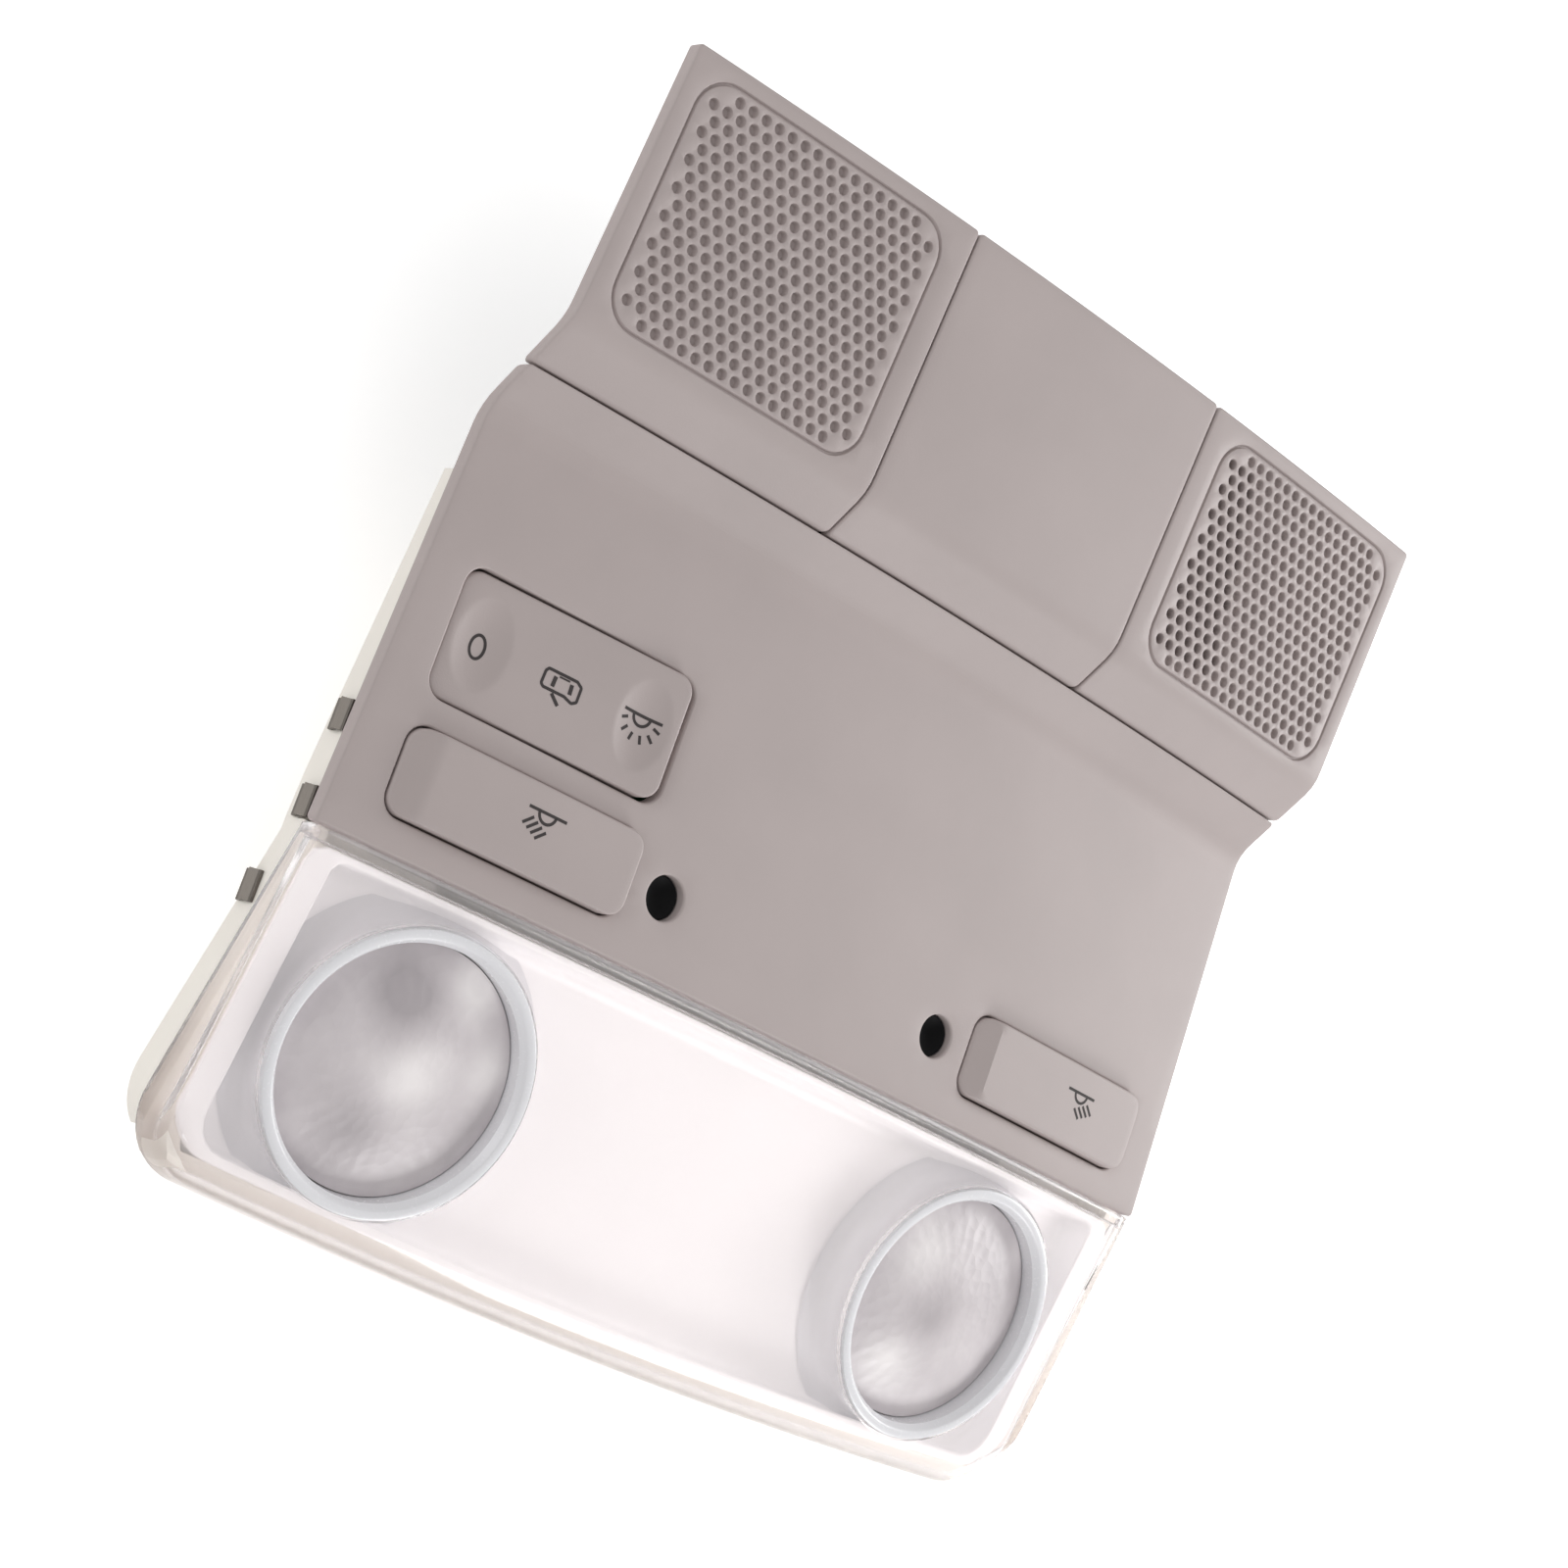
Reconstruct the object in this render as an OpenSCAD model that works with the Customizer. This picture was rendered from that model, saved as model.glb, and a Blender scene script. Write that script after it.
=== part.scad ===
// Overhead dome light of a car with two reading lamps, lying on its back.
// X runs across the car, +Y runs from the lens to the grilles and +Z is the side
// that faces the cabin. The origin is on the centre line, on the back of the
// housing, under the line where the lens meets the panel.

/* [Panel] */
// Width of the panel where it meets the lens
panel_w = 190.4; // [184:0.1:196]
// How far each side has come in at the foot of the step
waist_taper = 2.6; // [0.5:0.1:5]
// How far each side has come in at the far edge
far_taper = 3.5; // [1:0.1:6]
// Height of the panel's face above the back of the housing
face_z = 39; // [38:0.1:42]
// Wall of the panel and of the covers
panel_wall = 2.4; // [2:0.1:2.8]
// Radius of the crown across the whole front
crown_r = 1000; // [800:10:3000]
// Gap of the seams between the panel and the covers
seam_gap = 0.4; // [0.2:0.1:0.8]
// Height of the rim that stiffens the panel and covers
rim_h = 3; // [1:0.1:4]
// Thickness of that rim
rim_t = 1.6; // [1:0.1:2.4]
// Distance of that rim from the sides and the far edge
rim_inset = 3.4; // [3.2:0.1:5]

/* [Step] */
// Distance from the lens to the foot of the step
step_foot_y = 68.5; // [66:0.1:74]
// Distance from the foot of the step to the seam of the covers
seam_run = 7; // [5.5:0.1:8.5]
// Distance from the foot of the step to its top
step_run = 14.5; // [13:0.1:18]
// Length of the covers past the step
cover_l = 45.8; // [38:0.1:60]
// Height of the step
step_h = 12.6; // [10:0.1:14]
// Rise of the covers from the step to the far edge
cover_rise = 4.8; // [2:0.1:7]
// Radius of the bends of the step
step_r = 8; // [4:0.5:10]
// Half the width of the centre cover
centre_half_w = 31.1; // [28:0.1:33]

/* [Grilles] */
// Distance of a grille from the side of its cover
grille_side = 3.7; // [2:0.1:8]
// Distance of a grille from the middle cover
grille_inner = 5.9; // [3:0.1:10]
// Distance of a grille from the far edge
grille_far = 3.2; // [2:0.1:8]
// Distance of a grille from the top of the step
grille_near = 2.2; // [1.5:0.1:8]
// Radius of the corners of a grille
grille_r = 5.5; // [3:0.1:8]
// Distance between neighbouring grille holes
hole_pitch = 2.7; // [2.5:0.1:4]
// Radius of a grille hole
hole_r = 0.95; // [0.7:0.05:1.1]
// Depth of a blind grille hole
hole_depth = 1.1; // [0.5:0.1:1.5]
// Width of the groove round a grille
groove_w = 0.7; // [0.4:0.1:1]
// Depth of the groove round a grille
groove_depth = 0.5; // [0.2:0.1:0.8]
// Width of the open part of the right grille in front of the microphone
mic_window_w = 13; // [8:0.5:18]

/* [Lens] */
// Distance of the side of the lens cover from the side of the panel
lens_inset = 0.2; // [0:0.1:1]
// Length of the lens cover along the centre line
lens_l = 57.5; // [52:0.1:66]
// Pitch of the lens, down from the panel, in degrees
lens_pitch = 11.7; // [8:0.1:12.5]
// Wall of the lens cover
lens_wall = 1.8; // [1.4:0.1:2]
// Radius of the rounded front edge of the lens cover
lens_edge_r = 6; // [4:0.1:6.5]
// Radius of the two front corners of the lens cover, seen from above
lens_corner_r = 12; // [9:0.5:16]
// Radius of the bowed front edge, seen from above
lens_bow_r = 1480; // [900:10:4000]
// Depth of the lens cover at its sides
lens_skirt = 3.4; // [3:0.1:5]

/* [Diffuser tray] */
// Gap between the side of the tray and the wall of the housing
tray_gap = 0.4; // [0.3:0.1:1]
// Depth of the tray's floor below the face of the lens
tray_depth = 8.6; // [8:0.1:9]
// Wall of the tray
tray_wall = 1.2; // [1:0.1:1.4]
// Depth of the tray's flange below the face of the lens
tray_top = 2.3; // [2.2:0.1:2.6]
// Thickness of the tray's flange
flange_t = 1; // [0.8:0.1:1.2]

/* [Reading lamps] */
// Distance from the side of the lens cover to the middle of a reading lamp
lamp_side = 32.6; // [31.5:0.1:36]
// Distance of a lamp collar from the back and from the front of the lens cover
lamp_margin = 5.75; // [5.6:0.05:9]
// Wall of a lamp collar
collar_wall = 2.5; // [1.5:0.1:4]
// Run of the flare at the foot of a lamp collar
collar_flare = 3.8; // [1:0.1:4]
// Height of a collar's edge above the face of the lens
collar_lift = 0.3; // [0.1:0.1:1]
// Gap between a collar and the hole in the lens cover
collar_gap = 0.3; // [0.2:0.05:0.6]
// Height of the dome of a reading lens
dome_h = 3.4; // [1:0.1:5]
// Thickness of a reading lens at its edge
dome_edge = 1.4; // [1:0.1:2]
// Depth of a reading lens below the collar's edge
dome_depth = 4; // [3.5:0.1:4.4]
// Depth of a lamp's mirror bowl below the reading lens
bowl_depth = 17; // [14:0.1:17.5]
// Wall of a mirror bowl
bowl_wall = 0.8; // [0.6:0.1:1]
// Radius of a reading bulb's glass
bulb_r = 4.6; // [4:0.1:5]
// Radius of a bulb socket
socket_r = 8; // [7:0.1:9]
// Height of a bulb socket
socket_h = 5; // [4:0.1:5.4]

/* [Rocker] */
// Length of the rocker across the car
rocker_l = 45.2; // [43:0.1:46]
// Width of the rocker
rocker_w = 20.6; // [18:0.1:21]
// Distance from the side of the panel to the rocker's pivot
rocker_side = 32.4; // [31:0.1:34]
// Distance from the lens to the middle of the rocker
rocker_y = 35; // [34.5:0.1:36]
// Radius of the corners of the rocker, seen from above
rocker_corner_r = 3; // [1:0.1:4]
// Height of the rocker's face above its pivot
rocker_face = 5.2; // [4.6:0.1:6]
// Angle from one end stop of the rocker to its middle position, in degrees
rocker_swing = 4; // [2:0.1:5]
// Gap round the rocker
rocker_gap = 0.4; // [0.3:0.05:0.6]
// Radius of the rocker's pivot pins
trunnion_r = 1.5; // [1.2:0.05:1.8]
// Clearance of the pivot pins in their bores
trunnion_clearance = 0.05; // [0.02:0.01:0.1]
// Length of the lever under the rocker
lever_l = 10; // [9:0.1:10.5]
// Radius of the lever's round tip
lever_tip_r = 1.4; // [1:0.1:1.6]
// Distance from the pivot to a finger dimple
dimple_x = 15.4; // [12:0.1:16]
// Depth of a finger dimple
dimple_depth = 0.9; // [0.4:0.1:1.1]

/* [Reading buttons] */
// Distance from the side of the panel to the middle of a button
button_side = 32.2; // [31.7:0.1:33.2]
// Distance from the lens to the middle of a button
button_y = 12.6; // [12:0.1:13]
// Length of a button across the car
button_l = 45; // [40:0.1:46]
// Width of a button
button_w = 14; // [11:0.1:14.4]
// Radius of the corners of a button, seen from above
button_corner_r = 3; // [1.8:0.1:4]
// Height of a button above the panel
button_rise = 2; // [1.4:0.1:2.6]
// Run of the bevel at the left end of a button
button_bevel = 4.5; // [2:0.1:5]
// Gap round a button
button_gap = 0.35; // [0.3:0.05:0.6]
// Travel of a button
button_travel = 1.2; // [0.6:0.1:1.4]
// Width of the lip that keeps a button behind the panel
button_lip = 0.9; // [0.7:0.1:1.1]

/* [Ambient lights] */
// Distance from a button to the middle of an ambient light
ambient_gap = 8.4; // [7:0.1:10]
// Distance from the lens to an ambient light
ambient_y = 12.4; // [11:0.1:14]
// Radius of the hole over an ambient light
ambient_r = 3.65; // [3:0.05:4]

/* [Housing] */
// Distance of the housing round the lens from the side of the lens
bay_inset = 3.5; // [3.2:0.1:4.5]
// Depth of the housing's shallow bay below the face of the lens
bay_depth = 12; // [11.8:0.1:13]
// Depth of the ledge under the sides of the lens where it meets the panel
ledge_depth = 7.8; // [6.5:0.1:10]
// Depth of the ledge at the front of the lens
ledge_front_depth = 16; // [13:0.1:17]
// Distance of the housing's sides from the sides of the panel
shelf_inset = 0.8; // [0.4:0.1:1]
// Height of the shelf behind the panel above the back
shelf_z = 25.5; // [24:0.1:25.7]
// How far the lower edge of the shelf's sides rises to the shelf's end
shelf_rise = 3.7; // [0:0.1:3.8]
// Distance of the shelf's end from the foot of the step
shelf_end = 10.5; // [9.5:0.1:12]
// Distance of the terrace round the circuit board from the side of the bay
terrace_inset = 14.5; // [11.5:0.5:15]
// Height of the housing's floor under the ends of the board
terrace_z = 9; // [7:0.1:9.4]
// Distance of the housing's deep middle from the side of the terrace
middle_inset = 9; // [7:0.5:12]
// Wall of the housing
housing_wall = 2; // [1.6:0.1:2.2]
// Clearance between pieces that lie on each other
seat_gap = 0.3; // [0.1:0.05:0.4]
// Length of a spring clip along the housing's side
clip_l = 5; // [3:0.5:8]
// How far a spring clip bulges from the housing's side
clip_bulge = 0.8; // [0.4:0.1:1.5]
// Distance between neighbouring spring clips
clip_pitch = 14; // [12:0.5:18]

/* [Electrics] */
// Gap round the circuit board
board_gap = 1; // [0.3:0.1:3]
// Height of the circuit board above the back
board_z = 12; // [11:0.1:12.4]
// Thickness of the circuit board
board_t = 1.6; // [1.2:0.1:2]
// Length of the tubular bulb
festoon_l = 36; // [31:0.5:41]
// Radius of the tubular bulb
festoon_r = 5.2; // [4.5:0.1:5.4]
// Outer width of the connector
plug_w = 24; // [20:0.5:30]
// Outer height of the connector
plug_h = 10.4; // [9:0.1:11]
// Wall of the connector
plug_wall = 1.2; // [1:0.1:1.6]
// Radius of the microphone
mic_r = 4.9; // [4:0.1:5.2]
// Height of the microphone
mic_h = 5; // [4:0.1:6]

/* [Hidden] */
// Side signs
LEFT = -1;
RIGHT = 1;
// Colours
panel_grey = [0.70, 0.67, 0.66];
clear_plastic = [0.93, 0.94, 0.95, 0.4];
tray_white = [0.96, 0.96, 0.96];
silver = [0.82, 0.83, 0.86];
frosted = [0.78, 0.77, 0.79];
cream = [0.88, 0.86, 0.80];
black_plastic = [0.06, 0.06, 0.06];
spring_steel = [0.30, 0.30, 0.30];
brass = [0.78, 0.66, 0.35];
board_green = [0.12, 0.36, 0.20];
// Smoothness of round pieces
$fn = 64;
crown_fn = 720;
crown_half_angle = 6.5;
axis_z = face_z - crown_r;
bend_steps = 6;
// Heights that only have to clear everything
tall = 90;
deep = -8;

// Widths and distances from the lens that follow from the sizes above
waist_w = panel_w - 2 * waist_taper;
far_w = panel_w - 2 * far_taper;
seam_y = step_foot_y + seam_run;
step_top_y = step_foot_y + step_run;
far_y = step_top_y + cover_l;
grille_w = far_w / 2 - centre_half_w - grille_inner - grille_side;
grille_l = cover_l - grille_near - grille_far;
grille_x = centre_half_w + grille_inner + grille_w / 2;
grille_y = step_top_y + grille_near + grille_l / 2;
lens_w = panel_w - 2 * lens_inset;
lamp_x = lens_w / 2 - lamp_side;
lamp_y = lens_l / 2;
collar_r = lamp_y - lamp_margin;
collar_bore_r = collar_r - collar_wall;
rocker_x = panel_w / 2 - rocker_side;
button_x = panel_w / 2 - button_side;
ambient_x = button_x - button_l / 2 - ambient_gap;
bay_w = lens_w - 2 * bay_inset;
terrace_w = bay_w - 2 * terrace_inset;
middle_w = terrace_w - 2 * middle_inset;
shelf_l = step_foot_y - shelf_end;
housing_end = shelf_l - 6;
board_y0 = 6;
board_w = terrace_w - 2 * housing_wall - 2 * board_gap;
board_l = housing_end - board_y0 - 4;

cover_slope = cover_rise / cover_l;
lens_slope = tan(lens_pitch);
lamp_lean = asin(lamp_x / crown_r);
rocker_lean = asin(rocker_x / crown_r);
board_top = board_z + board_t;
bay_front = lens_l - lens_wall - 2 * seat_gap;
bay_corner_r = lens_corner_r - 3;
bore_lining = 1.4;

// Height on the crowned front at distance x from the centre line, where the centre line is at height z
function crown(z, x) = axis_z + sqrt(pow(z - axis_z, 2) - x * x);
// Height of the lens's face on the centre line; y is negative there
function lens_z(y) = face_z + lens_slope * y;
function unit(v) = v / norm(v);
function turn(v) = [-v[1], v[0]];

// Points of an arc of radius r that rounds the corner b between a and c
function bend(a, b, c, r) =
    let (u = unit(a - b), v = unit(c - b), half = acos(u * v) / 2, mid = b + unit(u + v) * r / sin(half),
         p = b + u * r / tan(half) - mid, q = b + v * r / tan(half) - mid,
         start = atan2(p[1], p[0]), sweep = atan2(q[1], q[0]) - start,
         turned = sweep > 180 ? sweep - 360 : sweep < -180 ? sweep + 360 : sweep)
    [for (i = [0 : bend_steps]) mid + r * [cos(start + turned * i / bend_steps), sin(start + turned * i / bend_steps)]];

// Line of points moved sideways by d, to the right of its run for a positive d
function beside(line, d) =
    let (last = len(line) - 1)
    [for (i = [0 : last])
        let (before = unit(line[min(i + 1, last)] - line[min(i, last - 1)]),
             after = unit(line[max(i, 1)] - line[max(i - 1, 0)]),
             middle = unit(before + after))
        line[i] - turn(middle) * d / (middle * before)];

function reversed(line) = [for (i = [len(line) - 1 : -1 : 0]) line[i]];

// Face of the panel and covers on the centre line, as [y, z]
face_start = [0, face_z];
face_foot = [step_foot_y, face_z];
face_top = [step_top_y, face_z + step_h];
face_end = [far_y, face_z + step_h + cover_rise];
face_line = concat([face_start], bend(face_start, face_foot, face_top, step_r),
    bend(face_foot, face_top, face_end, step_r), [face_end]);

// Height of the covers on the centre line, past the step
function cover_z(y) = face_z + step_h + (y - step_top_y) * cover_slope;

// Solid swept across the crown from an outline in [y, z]
module crowned(outline) {
    translate([0, 0, axis_z])
        rotate([-90, -90, 0])
            rotate([0, 0, -crown_half_angle])
                rotate_extrude(angle = 2 * crown_half_angle, $fn = crown_fn)
                    polygon([for (p = outline) [p[1] - axis_z, p[0]]]);
}

// Crowned layer of the panel and covers between two depths below their face
module face_layer(from, to) {
    crowned(concat(beside(face_line, from), reversed(beside(face_line, to))));
}

// Crowned layer of the lens between two depths below its face
module lens_layer(from, to) {
    crowned([[0, lens_z(0) - from], [-lens_l - 1, lens_z(-lens_l - 1) - from],
        [-lens_l - 1, lens_z(-lens_l - 1) - to], [0, lens_z(0) - to]]);
}

module rounded_square(w, l, r) {
    square([w - 2 * r, l], center = true);
    square([w, l - 2 * r], center = true);
    for (x = [-1, 1], y = [-1, 1])
        translate([x * (w / 2 - r), y * (l / 2 - r)])
            circle(r);
}

// Half width of the panel and covers at distance y from the lens
function half_width(y) = y < step_foot_y
    ? (panel_w + (waist_w - panel_w) * y / step_foot_y) / 2
    : (waist_w + (far_w - waist_w) * (y - step_foot_y) / (far_y - step_foot_y)) / 2;

// Outline of the front from y0 to y1, moved in by inset at its sides
module front_outline(y0, y1, inset = 0) {
    bends = [for (y = [y0, step_foot_y, y1]) if (y >= y0 && y <= y1) y];
    polygon(concat([for (y = bends) [half_width(y) - inset, y]],
        [for (y = reversed(bends)) [inset - half_width(y), y]]));
}

// Upright prism with a bowed front and rounded front corners: half its width, y of its front and back, corner radius
module bowed_prism(half_w, front, back, r) {
    intersection() {
        linear_extrude(tall) {
            for (side = [LEFT, RIGHT])
                translate([side * (half_w - r), r - front])
                    circle(r);
            translate([r - half_w, -front])
                square([2 * (half_w - r), r]);
            translate([-half_w, r - front])
                square([2 * half_w, front - r - back]);
        }
        translate([0, lens_bow_r - front, 0])
            cylinder(r = lens_bow_r, h = tall, $fn = 2 * crown_fn);
    }
}

// Prism of the lens cover, moved in by inset
module lens_prism(inset = 0) {
    bowed_prism(lens_w / 2 - inset, lens_l - inset, seam_gap / 2 + inset, lens_corner_r - inset);
}

// Prism of the housing's bay round the lens, moved in by inset
module bay_prism(inset = 0, back = 0) {
    bowed_prism(bay_w / 2 - inset, bay_front - inset, back, bay_corner_r - inset);
}

// Puts its children in the frame of a reading lamp: origin on the lens's face, Z out of the lamp
module at_lamp(side) {
    translate([side * lamp_x, -lamp_y, crown(lens_z(-lamp_y), lamp_x)])
        rotate([lens_pitch, side * lamp_lean, 0])
            children();
}

module main_panel() {
    color(panel_grey)
        difference() {
            union() {
                intersection() {
                    face_layer(0, panel_wall);
                    linear_extrude(tall)
                        front_outline(0, seam_y - seam_gap / 2);
                }
                intersection() {
                    face_layer(panel_wall, panel_wall + rim_h);
                    linear_extrude(tall)
                        difference() {
                            front_outline(0, seam_y - seam_gap / 2, rim_inset);
                            front_outline(rim_t, seam_y + 1, rim_inset + rim_t);
                        }
                }
                ambient_tubes();
                screw_bosses();
            }
            rocker_opening();
            for (side = [LEFT, RIGHT])
                button_opening(side);
            for (side = [LEFT, RIGHT])
                translate([side * ambient_x, ambient_y, 0])
                    cylinder(r = ambient_r, h = tall);
            screw_pilots();
        }
}

// Short tubes behind the panel that hold the ambient lights
module ambient_tubes() {
    for (side = [LEFT, RIGHT])
        intersection() {
            translate([side * ambient_x, ambient_y, 0])
                cylinder(r = ambient_r + bore_lining, h = tall);
            face_layer(panel_wall / 2, panel_wall + rim_h);
        }
}

// The housing's screws go into bosses at these points, at both sides
screw_x = panel_w / 2 - 15.2;
screw_y = shelf_l - 6;
screw_r = 1.3;
screw_head_r = 3;
screw_head_h = 1.8;
boss_r = 3.2;
boss_top = crown(face_z, screw_x) - panel_wall;
screw_l = boss_top - shelf_z;

module screw_bosses() {
    for (side = [LEFT, RIGHT])
        intersection() {
            translate([side * screw_x, screw_y, shelf_z + housing_wall + seat_gap])
                cylinder(r = boss_r, h = tall);
            crowned([[0, deep], [0, face_z - panel_wall / 2], [step_foot_y - step_r, face_z - panel_wall / 2],
                [step_foot_y - step_r, deep]]);
        }
}

module screw_pilots() {
    for (side = [LEFT, RIGHT])
        translate([side * screw_x, screw_y, 0])
            cylinder(r = screw_r + 0.05, h = shelf_z + screw_l + 0.4);
}

module rocker_opening() {
    translate([-rocker_x, rocker_y, 0])
        linear_extrude(tall)
            rounded_square(rocker_l + 2 * rocker_gap, rocker_w + 2 * rocker_gap, rocker_corner_r + rocker_gap);
}

module button_opening(side) {
    translate([side * button_x, button_y, 0])
        linear_extrude(tall)
            rounded_square(button_l + 2 * button_gap, button_w + 2 * button_gap, button_corner_r + button_gap);
}

// One cover of the step, between x0 and x1, with a rim along its outer and far edges
module cover_shell(x0, x1) {
    intersection() {
        union() {
            face_layer(0, panel_wall);
            intersection() {
                face_layer(panel_wall, panel_wall + rim_h);
                linear_extrude(tall)
                    difference() {
                        front_outline(seam_y, far_y - rim_inset, rim_inset);
                        front_outline(seam_y - 1, far_y - rim_inset - rim_t, rim_inset + rim_t);
                    }
            }
        }
        linear_extrude(tall)
            intersection() {
                front_outline(seam_y + seam_gap / 2, far_y);
                translate([x0, 0])
                    square([x1 - x0, far_y]);
            }
    }
}

// Whether a hole centre at p from the middle of the grille lies whole inside its rounded outline
function in_grille(p) =
    let (m = hole_r + 0.4, a = max(abs(p[0]) - grille_w / 2 + grille_r, 0), b = max(abs(p[1]) - grille_l / 2 + grille_r, 0))
    norm([a, b]) <= grille_r - m;

row_pitch = hole_pitch * sin(60);
grille_rows = floor(grille_l / row_pitch / 2);
grille_columns = floor(grille_w / hole_pitch / 2) + 1;
grille_points = [for (j = [-grille_rows : grille_rows], i = [-grille_columns : grille_columns])
    let (p = [(i + abs(j % 2) / 2) * hole_pitch, j * row_pitch])
    if (in_grille(p)) p];

// Whether a hole of the right grille opens to the microphone: a slanted band by the inner edge
function over_mic(p) = p[0] + grille_w / 2 < mic_window_w - 0.25 * (p[1] + grille_l / 2) + 6 && abs(p[1]) < grille_l * 0.42;

module grille_holes(side) {
    for (p = grille_points)
        let (x = side * grille_x + p[0], y = grille_y + p[1], open = side == RIGHT && over_mic(p))
            translate([x, y, crown(cover_z(y), x) - (open ? 2 * panel_wall : hole_depth)])
                cylinder(r = hole_r, h = 3 * panel_wall, $fn = 16);
    intersection() {
        face_layer(-1, groove_depth);
        translate([side * grille_x, grille_y, 0])
            linear_extrude(tall)
                difference() {
                    rounded_square(grille_w + groove_w, grille_l + groove_w, grille_r + groove_w / 2);
                    rounded_square(grille_w - groove_w, grille_l - groove_w, grille_r - groove_w / 2);
                }
    }
}

module grille_cover(side) {
    inner = centre_half_w + seam_gap / 2;
    color(panel_grey)
        difference() {
            if (side == LEFT)
                cover_shell(-panel_w, -inner);
            else
                cover_shell(inner, panel_w);
            grille_holes(side);
        }
}

module centre_cover() {
    color(panel_grey)
        cover_shell(seam_gap / 2 - centre_half_w, centre_half_w - seam_gap / 2);
}

// Plate behind the covers, which carries them on the panel
frame_t = 1.8;
frame_inset = rim_inset + rim_t + 2 * seat_gap;
frame_start = step_foot_y - 3;
frame_top = panel_wall + seat_gap;
mic_x = grille_x - grille_w / 2 + mic_window_w / 2;
mic_y = grille_y;
sleeve_r = mic_r + 1.4;
mic_z = crown(cover_z(mic_y), mic_x) - panel_wall - 1;

module cover_frame() {
    color(black_plastic)
        difference() {
            union() {
                intersection() {
                    face_layer(frame_top, frame_top + frame_t);
                    linear_extrude(tall)
                        front_outline(frame_start, far_y - frame_inset, frame_inset);
                }
                intersection() {
                    translate([mic_x, mic_y, 0])
                        cylinder(r = sleeve_r + 1.6, h = tall);
                    face_layer(frame_top, frame_top + mic_h);
                }
            }
            translate([mic_x, mic_y, 0])
                cylinder(r = sleeve_r + 0.1, h = tall);
        }
}

module microphone() {
    color(spring_steel)
        translate([mic_x, mic_y, mic_z - mic_h])
            cylinder(r = mic_r, h = mic_h);
}

module microphone_sleeve() {
    color(black_plastic)
        translate([mic_x, mic_y, mic_z - mic_h - 1])
            difference() {
                cylinder(r = sleeve_r, h = mic_h + 0.6);
                translate([0, 0, 1])
                    cylinder(r = mic_r, h = mic_h);
                cylinder(r = mic_r / 2, h = mic_h, center = true);
            }
}

// Side view of the lens cover below depth inset, as [y, z]; its front edge is an arc
function lens_side(inset, skirt) =
    let (r = lens_edge_r - inset, mid = [lens_edge_r - lens_l, lens_z(lens_edge_r - lens_l) - lens_edge_r / cos(lens_pitch)],
         end = -seam_gap / 2 - inset)
    concat([[end, lens_z(end) - skirt], [end, lens_z(end) - inset / cos(lens_pitch)]],
        [for (i = [0 : bend_steps]) let (a = 90 + lens_pitch + (90 - lens_pitch) * i / bend_steps)
            mid + r * [cos(a), sin(a)]],
        [[inset - lens_l, lens_z(-lens_l) - skirt - lens_edge_r], [lens_edge_r - lens_l, lens_z(lens_edge_r - lens_l) - skirt - lens_edge_r]]);

module lens_cover() {
    color(clear_plastic)
        difference() {
            intersection() {
                crowned(lens_side(0, lens_skirt));
                lens_prism();
            }
            intersection() {
                crowned(lens_side(lens_wall, lens_skirt + lens_edge_r));
                lens_prism(lens_wall);
            }
            for (side = [LEFT, RIGHT])
                at_lamp(side)
                    cylinder(r = collar_r + collar_gap, h = 30, center = true);
        }
}

tray_inset = housing_wall + tray_gap;
tray_back = seam_gap / 2 + lens_wall + seat_gap;
collar_base = tray_depth - seat_gap;

module diffuser_tray() {
    color(tray_white)
        difference() {
            union() {
                intersection() {
                    lens_layer(tray_top, tray_depth + tray_wall);
                    bay_prism(tray_inset, tray_back);
                }
                intersection() {
                    lens_layer(tray_top, tray_top + flange_t);
                    bowed_prism(lens_w / 2 - lens_wall - 2 * seat_gap, bay_front - housing_wall, tray_back, bay_corner_r);
                }
            }
            intersection() {
                lens_layer(tray_top - 1, tray_depth);
                bay_prism(tray_inset + tray_wall, tray_back + tray_wall);
            }
            for (side = [LEFT, RIGHT])
                at_lamp(side) {
                    cylinder(r = collar_bore_r, h = 40, center = true);
                    translate([0, 0, -collar_base - seat_gap / 2])
                        cylinder(r = collar_r + collar_gap, h = 20);
                }
        }
}

// Tube with a flare at its foot; the flare stops at the walls of the tray
module lamp_collar(side) {
    color(silver) {
        at_lamp(side)
            rotate_extrude()
                polygon([[collar_bore_r, -collar_base], [collar_r, -collar_base],
                    [collar_r, collar_lift - 0.5], [collar_r - 0.5, collar_lift],
                    [collar_bore_r + 0.4, collar_lift], [collar_bore_r, collar_lift - 0.4]]);
        intersection() {
            at_lamp(side)
                rotate_extrude()
                    polygon(concat([[collar_r - 0.5, -collar_base]],
                        [for (i = [0 : 6]) let (a = 15 * i)
                            [collar_r + collar_flare * (1 - sin(a)), collar_flare * (1 - cos(a)) - collar_base]],
                        [[collar_r - 0.5, collar_flare - collar_base]]));
            bay_prism(tray_inset + tray_wall + seat_gap / 2, tray_back + tray_wall + seat_gap / 2);
        }
    }
}

lens_seat = collar_lift - dome_depth - dome_edge;
dome_r = collar_bore_r - 0.2;
bowl_r = collar_bore_r - 0.3;

module reading_lens(side) {
    round_r = (dome_r * dome_r + dome_h * dome_h) / (2 * dome_h);
    top = lens_seat + dome_edge;
    color(frosted)
        at_lamp(side)
            rotate_extrude()
                polygon(concat([[0, lens_seat], [dome_r, lens_seat]],
                    [for (i = [12 : -1 : 0]) let (r = dome_r * i / 12) [r, top + dome_h - round_r + sqrt(round_r * round_r - r * r)]]));
}

bowl_rim = lens_seat - 0.1;
bowl_foot_r = bulb_r + 0.8;

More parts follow.
